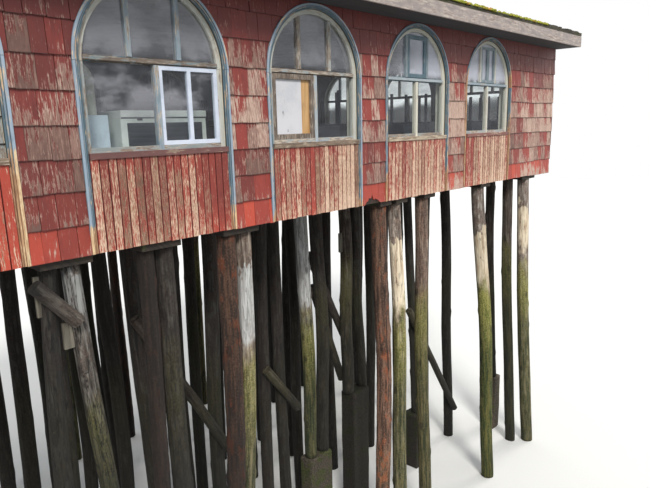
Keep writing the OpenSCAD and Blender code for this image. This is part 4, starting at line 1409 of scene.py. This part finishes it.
def roof_slope(name, node, sign):
    """A slope's deck and its courses of shingles. sign is -1 at the front and 1 at the back."""
    shape = Shape()
    rng = random.Random(name)
    place = slope_place(sign)
    top = ROOF_RUN - DECK_INSET
    half = ROOF_HIGH.x
    roof_deck(shape, place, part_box(node)[1].z - RIDGE_WALL_Z)
    for course in range(math.ceil(top / ROOF_EXPOSURE)):
        base = course * ROOF_EXPOSURE + 0.002
        u = -half
        while u < half - 0.001:
            right = min(u + rng.uniform(0.10, 0.19), half)
            if half - right < SHINGLE_NARROW:
                right = half
            short = rng.uniform(0.0, 0.045) if course == 0 else rng.uniform(-0.012, 0.012)
            butt = base + short + course_line(u * 0.8, course + 40)
            state = (0.5, rng.uniform(0.1, 0.9), 0.0)
            curled = course == 0 and sign < 0 and u > CURLED_FROM
            thick = rng.uniform(*CURLED_T) if curled else ROOF_SHINGLE_T
            shingle(shape, place, u + SHINGLE_GAP, right - SHINGLE_GAP, max(butt, 0.002),
                    butt + ROOF_EXPOSURE + HEAD_LAP, rng, state, lambda at: top,
                    lambda at, edge: max(edge, 0.001), thick)
            u = right
    shape.make(name, "roof", (node,))


roof_slope("front_roof_shingles", "front_roof", -1)
roof_slope("back_roof_shingles", "back_roof", 1)


# Moss on the roof's edge and here and there on its courses

CLUMP_RINGS, CLUMP_SIDES = 5, 9
# How many places on a slope's edge and on its courses are tried, and how far along they reach
EDGE_TRIES, COURSE_TRIES = 900, 420
EDGE_REACH, COURSE_REACH = (-6.5, 5.15), (-6.4, 6.4)
LAST_COURSE = 14


def moss_clump(shape, centre, size, tall, rng):
    """A small uneven cushion of moss."""
    seed = rng.uniform(0, 50)
    rings = []
    for row in range(CLUMP_RINGS):
        lean = math.pi * 0.5 * row / (CLUMP_RINGS - 1)
        ring = []
        for spot in range(CLUMP_SIDES):
            turn = 2 * math.pi * spot / CLUMP_SIDES
            bulge = 1 + 0.45 * noise.noise(Vector((turn * 1.3, lean * 2.0, seed)))
            reach = max(0.002, size * math.cos(lean) * bulge)
            point = centre + Vector((reach * math.cos(turn), reach * math.sin(turn) * 0.8,
                                     tall * math.sin(lean) * bulge - tall * 0.2))
            point.y = min(max(point.y, ROOF_LOW.y), -ROOF_LOW.y)
            point.x = min(max(point.x, -ROOF_HIGH.x), ROOF_HIGH.x)
            ring.append(shape.add(point))
        rings.append(ring)
    shape.tube(rings)


def moss():
    """Clumps where a slow noise lets them grow, thickest along the eaves."""
    shape = Shape()
    rng = random.Random("moss")
    for sign in (-1, 1):
        place = slope_place(sign)
        for _ in range(EDGE_TRIES):
            u = rng.uniform(*EDGE_REACH)
            thin = noise.noise(Vector((u * 1.1, sign * 3.0, 0.5)))
            if thin < rng.uniform(-0.45, 0.10):
                continue
            up = abs(rng.gauss(0.0, 0.06)) + 0.008
            centre = place(u * -sign, DECK_DROP - 0.006, up)
            moss_clump(shape, centre, rng.uniform(0.014, 0.050), rng.uniform(0.012, 0.040), rng)
        for _ in range(COURSE_TRIES):
            course = rng.randint(0, LAST_COURSE)
            u = rng.uniform(*COURSE_REACH)
            if noise.noise(Vector((u * 0.7, course * 0.3, sign * 5.0))) < 0.05:
                continue
            up = min(course * ROOF_EXPOSURE + rng.gauss(0.0, 0.03) + 0.03, ROOF_RUN - 0.3)
            centre = place(u, DECK_DROP - 0.008, max(0.02, up))
            moss_clump(shape, centre, rng.uniform(0.02, 0.07), rng.uniform(0.010, 0.024), rng)
    shape.make("roof_moss_clumps", "moss", smooth=True)


moss()


# Pieces whose shape the CAD gives, with eased edges


def sash_looks(middle):
    """The rough sash is nearly bare, the next teal and the last pair pale blue."""
    looks = {2: (0.85, 0.35, 0.0), 3: (0.15, 0.2, 0.0), 4: (0.25, 0.40, 0.10)}
    nearest = min(looks, key=lambda bay: abs(FRONT.bays[bay][0] - middle.x))
    return looks[nearest]


def block_looks(middle):
    """Tone and moss of a footing block, from the right corner on."""
    looks = {6.0: (0.85, 0.0, 0.0), 3.7: (0.12, 0.3, 0.0), 1.8: (0.10, 0.2, 0.0), 0.8: (0.50, 0.35, 0.0)}
    return looks[min(looks, key=lambda x: abs(x - middle.x))]


soften("sliding_window", "aluminium", 0.003)
soften("wooden_sashes", "frame", 0.004, looks=sash_looks)
soften("door_leaf", "door", 0.004, wear=0.35)
soften("door_frame", "casing", 0.004, wear=0.4)
soften("floor", "floor", 0.002)
soften("floor_joists", "beam", 0.006)
soften("girders", "beam", 0.010)
soften("pole_head_planks", "beam", 0.008)
soften("ceiling", "ceiling", 0.002)
soften("ridge_cap", "trim", 0.004, wear=0.4)
soften("fascias", "trim", 0.005, wear=0.45)
soften("soffits", "soffit", 0.003)
soften("verge_boards", "trim", 0.004, wear=0.45)
soften("footing_blocks", "concrete", 0.03, looks=block_looks, rough=0.012)
soften("chest_freezer", "enamel", 0.018, steps=4)
soften("kitchen_cabinet", "cabinet", 0.006)
soften("air_duct", "duct", 0.004)
soften("dining_tables", "dark", 0.004)
soften("upturned_chairs", "dark", 0.004)


# Plates and fittings that are added to what the CAD gives


def add_block(shape, low, high, ease=0.002):
    """A board or plate with eased edges, given by its lowest and highest corners."""
    low, high = Vector(low), Vector(high)
    size = high - low
    order = np.argsort(size)
    bm = bmesh.new()
    bmesh.ops.create_cube(bm, matrix=Matrix.Translation((low + high) / 2) @ Matrix.Diagonal((*size, 1.0)))
    bmesh.ops.bevel(bm, geom=bm.edges[:], offset=ease, segments=2, profile=0.6, affect="EDGES")
    bm.verts.index_update()
    base = len(shape.points)
    seed = base * 0.01
    for vert in bm.verts:
        grain = (vert.co[int(order[0])] + vert.co[int(order[1])], vert.co[int(order[2])], seed)
        shape.add(vert.co.copy(), grain)
    shape.take_faces(bm, base)


# The blank sheet in the middle window, with a batten beside it

# The share of the panel's width that the sheet takes
SHEET_SHARE = 0.76


def blank_sheet():
    """The CAD's panel as a sheet up to a batten's edge and the batten from there on."""
    low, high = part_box("blank_panel")
    edge = low.x + (high.x - low.x) * SHEET_SHARE
    sheet = Shape()
    add_block(sheet, low, (edge, high.y, high.z), ease=0.0015)
    sheet.make("blank_sheet", "panel", ("blank_panel",))
    batten = Shape()
    add_block(batten, (edge + 0.001, low.y + 0.004, low.z), high)
    batten.make("blank_batten", "tan", ("blank_panel",))


blank_sheet()


# The freezer's grille, lid gasket and hinge

# Height of the lid, and how far it stands over the freezer's front
LID_H, LID_OVER = 0.060, 0.012
# The grille's distances from the freezer's sides and bottom and from the lid
GRILLE_LEFT, GRILLE_RIGHT = 0.06, 0.05
GRILLE_BOTTOM, GRILLE_TOP = 0.27, 0.05
SLATS = 13
# How far a slat stands out, and the shares of the pitch that it begins and ends at
SLAT_OUT = 0.009
SLAT_SHARES = (0.2, 0.8)
GASKET_H = 0.012
HINGE_LEFT, HINGE_RIGHT = 0.16, 0.21
HINGE_OUT, HINGE_H = 0.010, 0.028


def freezer_fittings():
    """A plate with slats in front of it, the dark gasket under the lid and one hinge."""
    low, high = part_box("chest_freezer")
    lid = high.z - LID_H
    front = low.y + LID_OVER
    shape = Shape()
    left, right = low.x + GRILLE_LEFT, high.x - GRILLE_RIGHT
    bottom, top = low.z + GRILLE_BOTTOM, lid - GRILLE_TOP
    add_block(shape, (left, front - 0.003, bottom), (right, front + 0.004, top), ease=0.001)
    pitch = (top - bottom) / SLATS
    for i in range(SLATS):
        slat_low, slat_high = (bottom + pitch * i + share * pitch for share in SLAT_SHARES)
        add_block(shape, (left + 0.01, front - SLAT_OUT, slat_low), (right - 0.01, front, slat_high))
    gasket = lid - GASKET_H
    add_block(shape, (low.x + 0.004, front - 0.002, gasket),
              (high.x - 0.004, front + 0.002, lid - 0.001), ease=0.001)
    add_block(shape, (low.x + HINGE_LEFT, front - HINGE_OUT, lid - HINGE_H),
              (low.x + HINGE_RIGHT, front, gasket), ease=0.003)
    shape.make("freezer_grille", "grille")


freezer_fittings()


# Dark panels round the tables' sides, standing in for the shade under them

SIDE_PANEL_H = 0.62
# Half the thickness of a panel, how far it stands in from the table's edge and down from its top
PANEL_HALF = 0.003
PANEL_INSET = 0.012
PANEL_DROP = 0.020


def table_side_panels():
    """Four thin dark panels round each table, as painted shade under it."""
    shape = Shape()
    for points in islands("dining_tables"):
        xs, ys, zs = ([p[axis] for p in points] for axis in range(3))
        left, right = min(xs) + PANEL_INSET, max(xs) - PANEL_INSET
        front, back = min(ys) + PANEL_INSET, max(ys) - PANEL_INSET
        top = max(zs) - PANEL_DROP
        low = top - SIDE_PANEL_H
        for y in (front, back):
            add_block(shape, (left, y - PANEL_HALF, low), (right, y + PANEL_HALF, top))
        for x in (left, right):
            add_block(shape, (x - PANEL_HALF, front, low), (x + PANEL_HALF, back, top))
    shape.make("table_side_panels", "dark")


table_side_panels()


def keep(node, finish):
    """A CAD node that is shown as it is, with a finish."""
    data = CAD[node].data
    data.materials.clear()
    data.materials.append(FINISH[finish])


for node in ("front_wall", "back_wall", "right_wall", "left_wall"):
    keep(node, "wall")
keep("window_glass", "glass")


# Stage, light and camera

CAMERA_AT = Vector((-4.746, -7.885, 6.611))
YAW, PITCH, ROLL = math.radians(43.573), math.radians(11.815), math.radians(-1.2845)
# Focal length and the photograph's longer side, in pixels
FOCAL_PX, PICTURE_PX = 572.26, 650
SENSOR = 36.0


def camera():
    """The camera that took the photograph: yaw turns it to the left and pitch down."""
    look = Vector((math.cos(YAW) * math.cos(PITCH), math.sin(YAW) * math.cos(PITCH), -math.sin(PITCH)))
    flat = Vector((math.sin(YAW), -math.cos(YAW), 0.0))
    up = flat.cross(look)
    right = flat * math.cos(ROLL) + up * math.sin(ROLL)
    above = up * math.cos(ROLL) - flat * math.sin(ROLL)
    data = bpy.data.cameras.new("photo_view")
    data.sensor_width = SENSOR
    data.lens = FOCAL_PX / PICTURE_PX * SENSOR
    data.clip_end = 200
    made = in_scene("photo_view", data)
    turn = Matrix((right, above, -look)).transposed().to_4x4()
    made.matrix_world = Matrix.Translation(CAMERA_AT) @ turn
    bpy.context.scene.camera = made


def seen_share(finish):
    """1 for the rays that show a background: the camera's, and those in a mirror or through glass."""
    path = finish.outputs("ShaderNodeLightPath")
    return (path["Is Camera Ray"] + path["Is Glossy Ray"] + path["Is Transmission Ray"]).clip()


FLOOR_HALF = 60.0
FLOOR_Z = -0.004


def studio_floor():
    """A pale floor that throws only a dim light back up on the house."""
    f = finish_named("pale_floor")
    f.surface(f.mix(seen_share(f), paint(94, 96, 92), paint(238, 238, 236)), 0.9)
    mesh = bpy.data.meshes.new("studio_floor")
    turns = ((-1, -1), (1, -1), (1, 1), (-1, 1))
    mesh.from_pydata([(x * FLOOR_HALF, y * FLOOR_HALF, FLOOR_Z) for x, y in turns], [], [(0, 1, 2, 3)])
    mesh.materials.append(f.holder)
    in_scene("studio_floor", mesh)


def sky():
    """A white background that lights the house softly and a little blue."""
    world = bpy.data.worlds.new("studio")
    bpy.context.scene.world = world
    f = Finish(world)
    soft = f.node("ShaderNodeBackground", None, {"Color": (0.92, 0.96, 1.0, 1.0), "Strength": 0.70})
    white = f.node("ShaderNodeBackground", None, {"Color": (1.0, 1.0, 1.0, 1.0), "Strength": 1.0})
    both = f.node("ShaderNodeMixShader", None, {0: seen_share(f), 1: soft, 2: white})
    f.node("ShaderNodeOutputWorld", None, {"Surface": both})


def sun(name, energy, spread, colour, towards):
    """A sun that shines towards a direction, spread being its width in degrees."""
    data = bpy.data.lights.new(name, "SUN")
    data.energy = energy
    data.angle = math.radians(spread)
    data.color = colour
    made = in_scene(name, data)
    made.rotation_euler = Vector(towards).to_track_quat("-Z", "Y").to_euler()


camera()
studio_floor()
sky()
sun("key", energy=2.4, spread=15, colour=(1.0, 0.97, 0.92), towards=(0.46, 0.62, -0.63))
sun("low_sun", energy=1.1, spread=25, colour=(1.0, 0.95, 0.86), towards=(-0.84, 0.20, -0.50))
bpy.context.scene.view_settings.view_transform = "Standard"
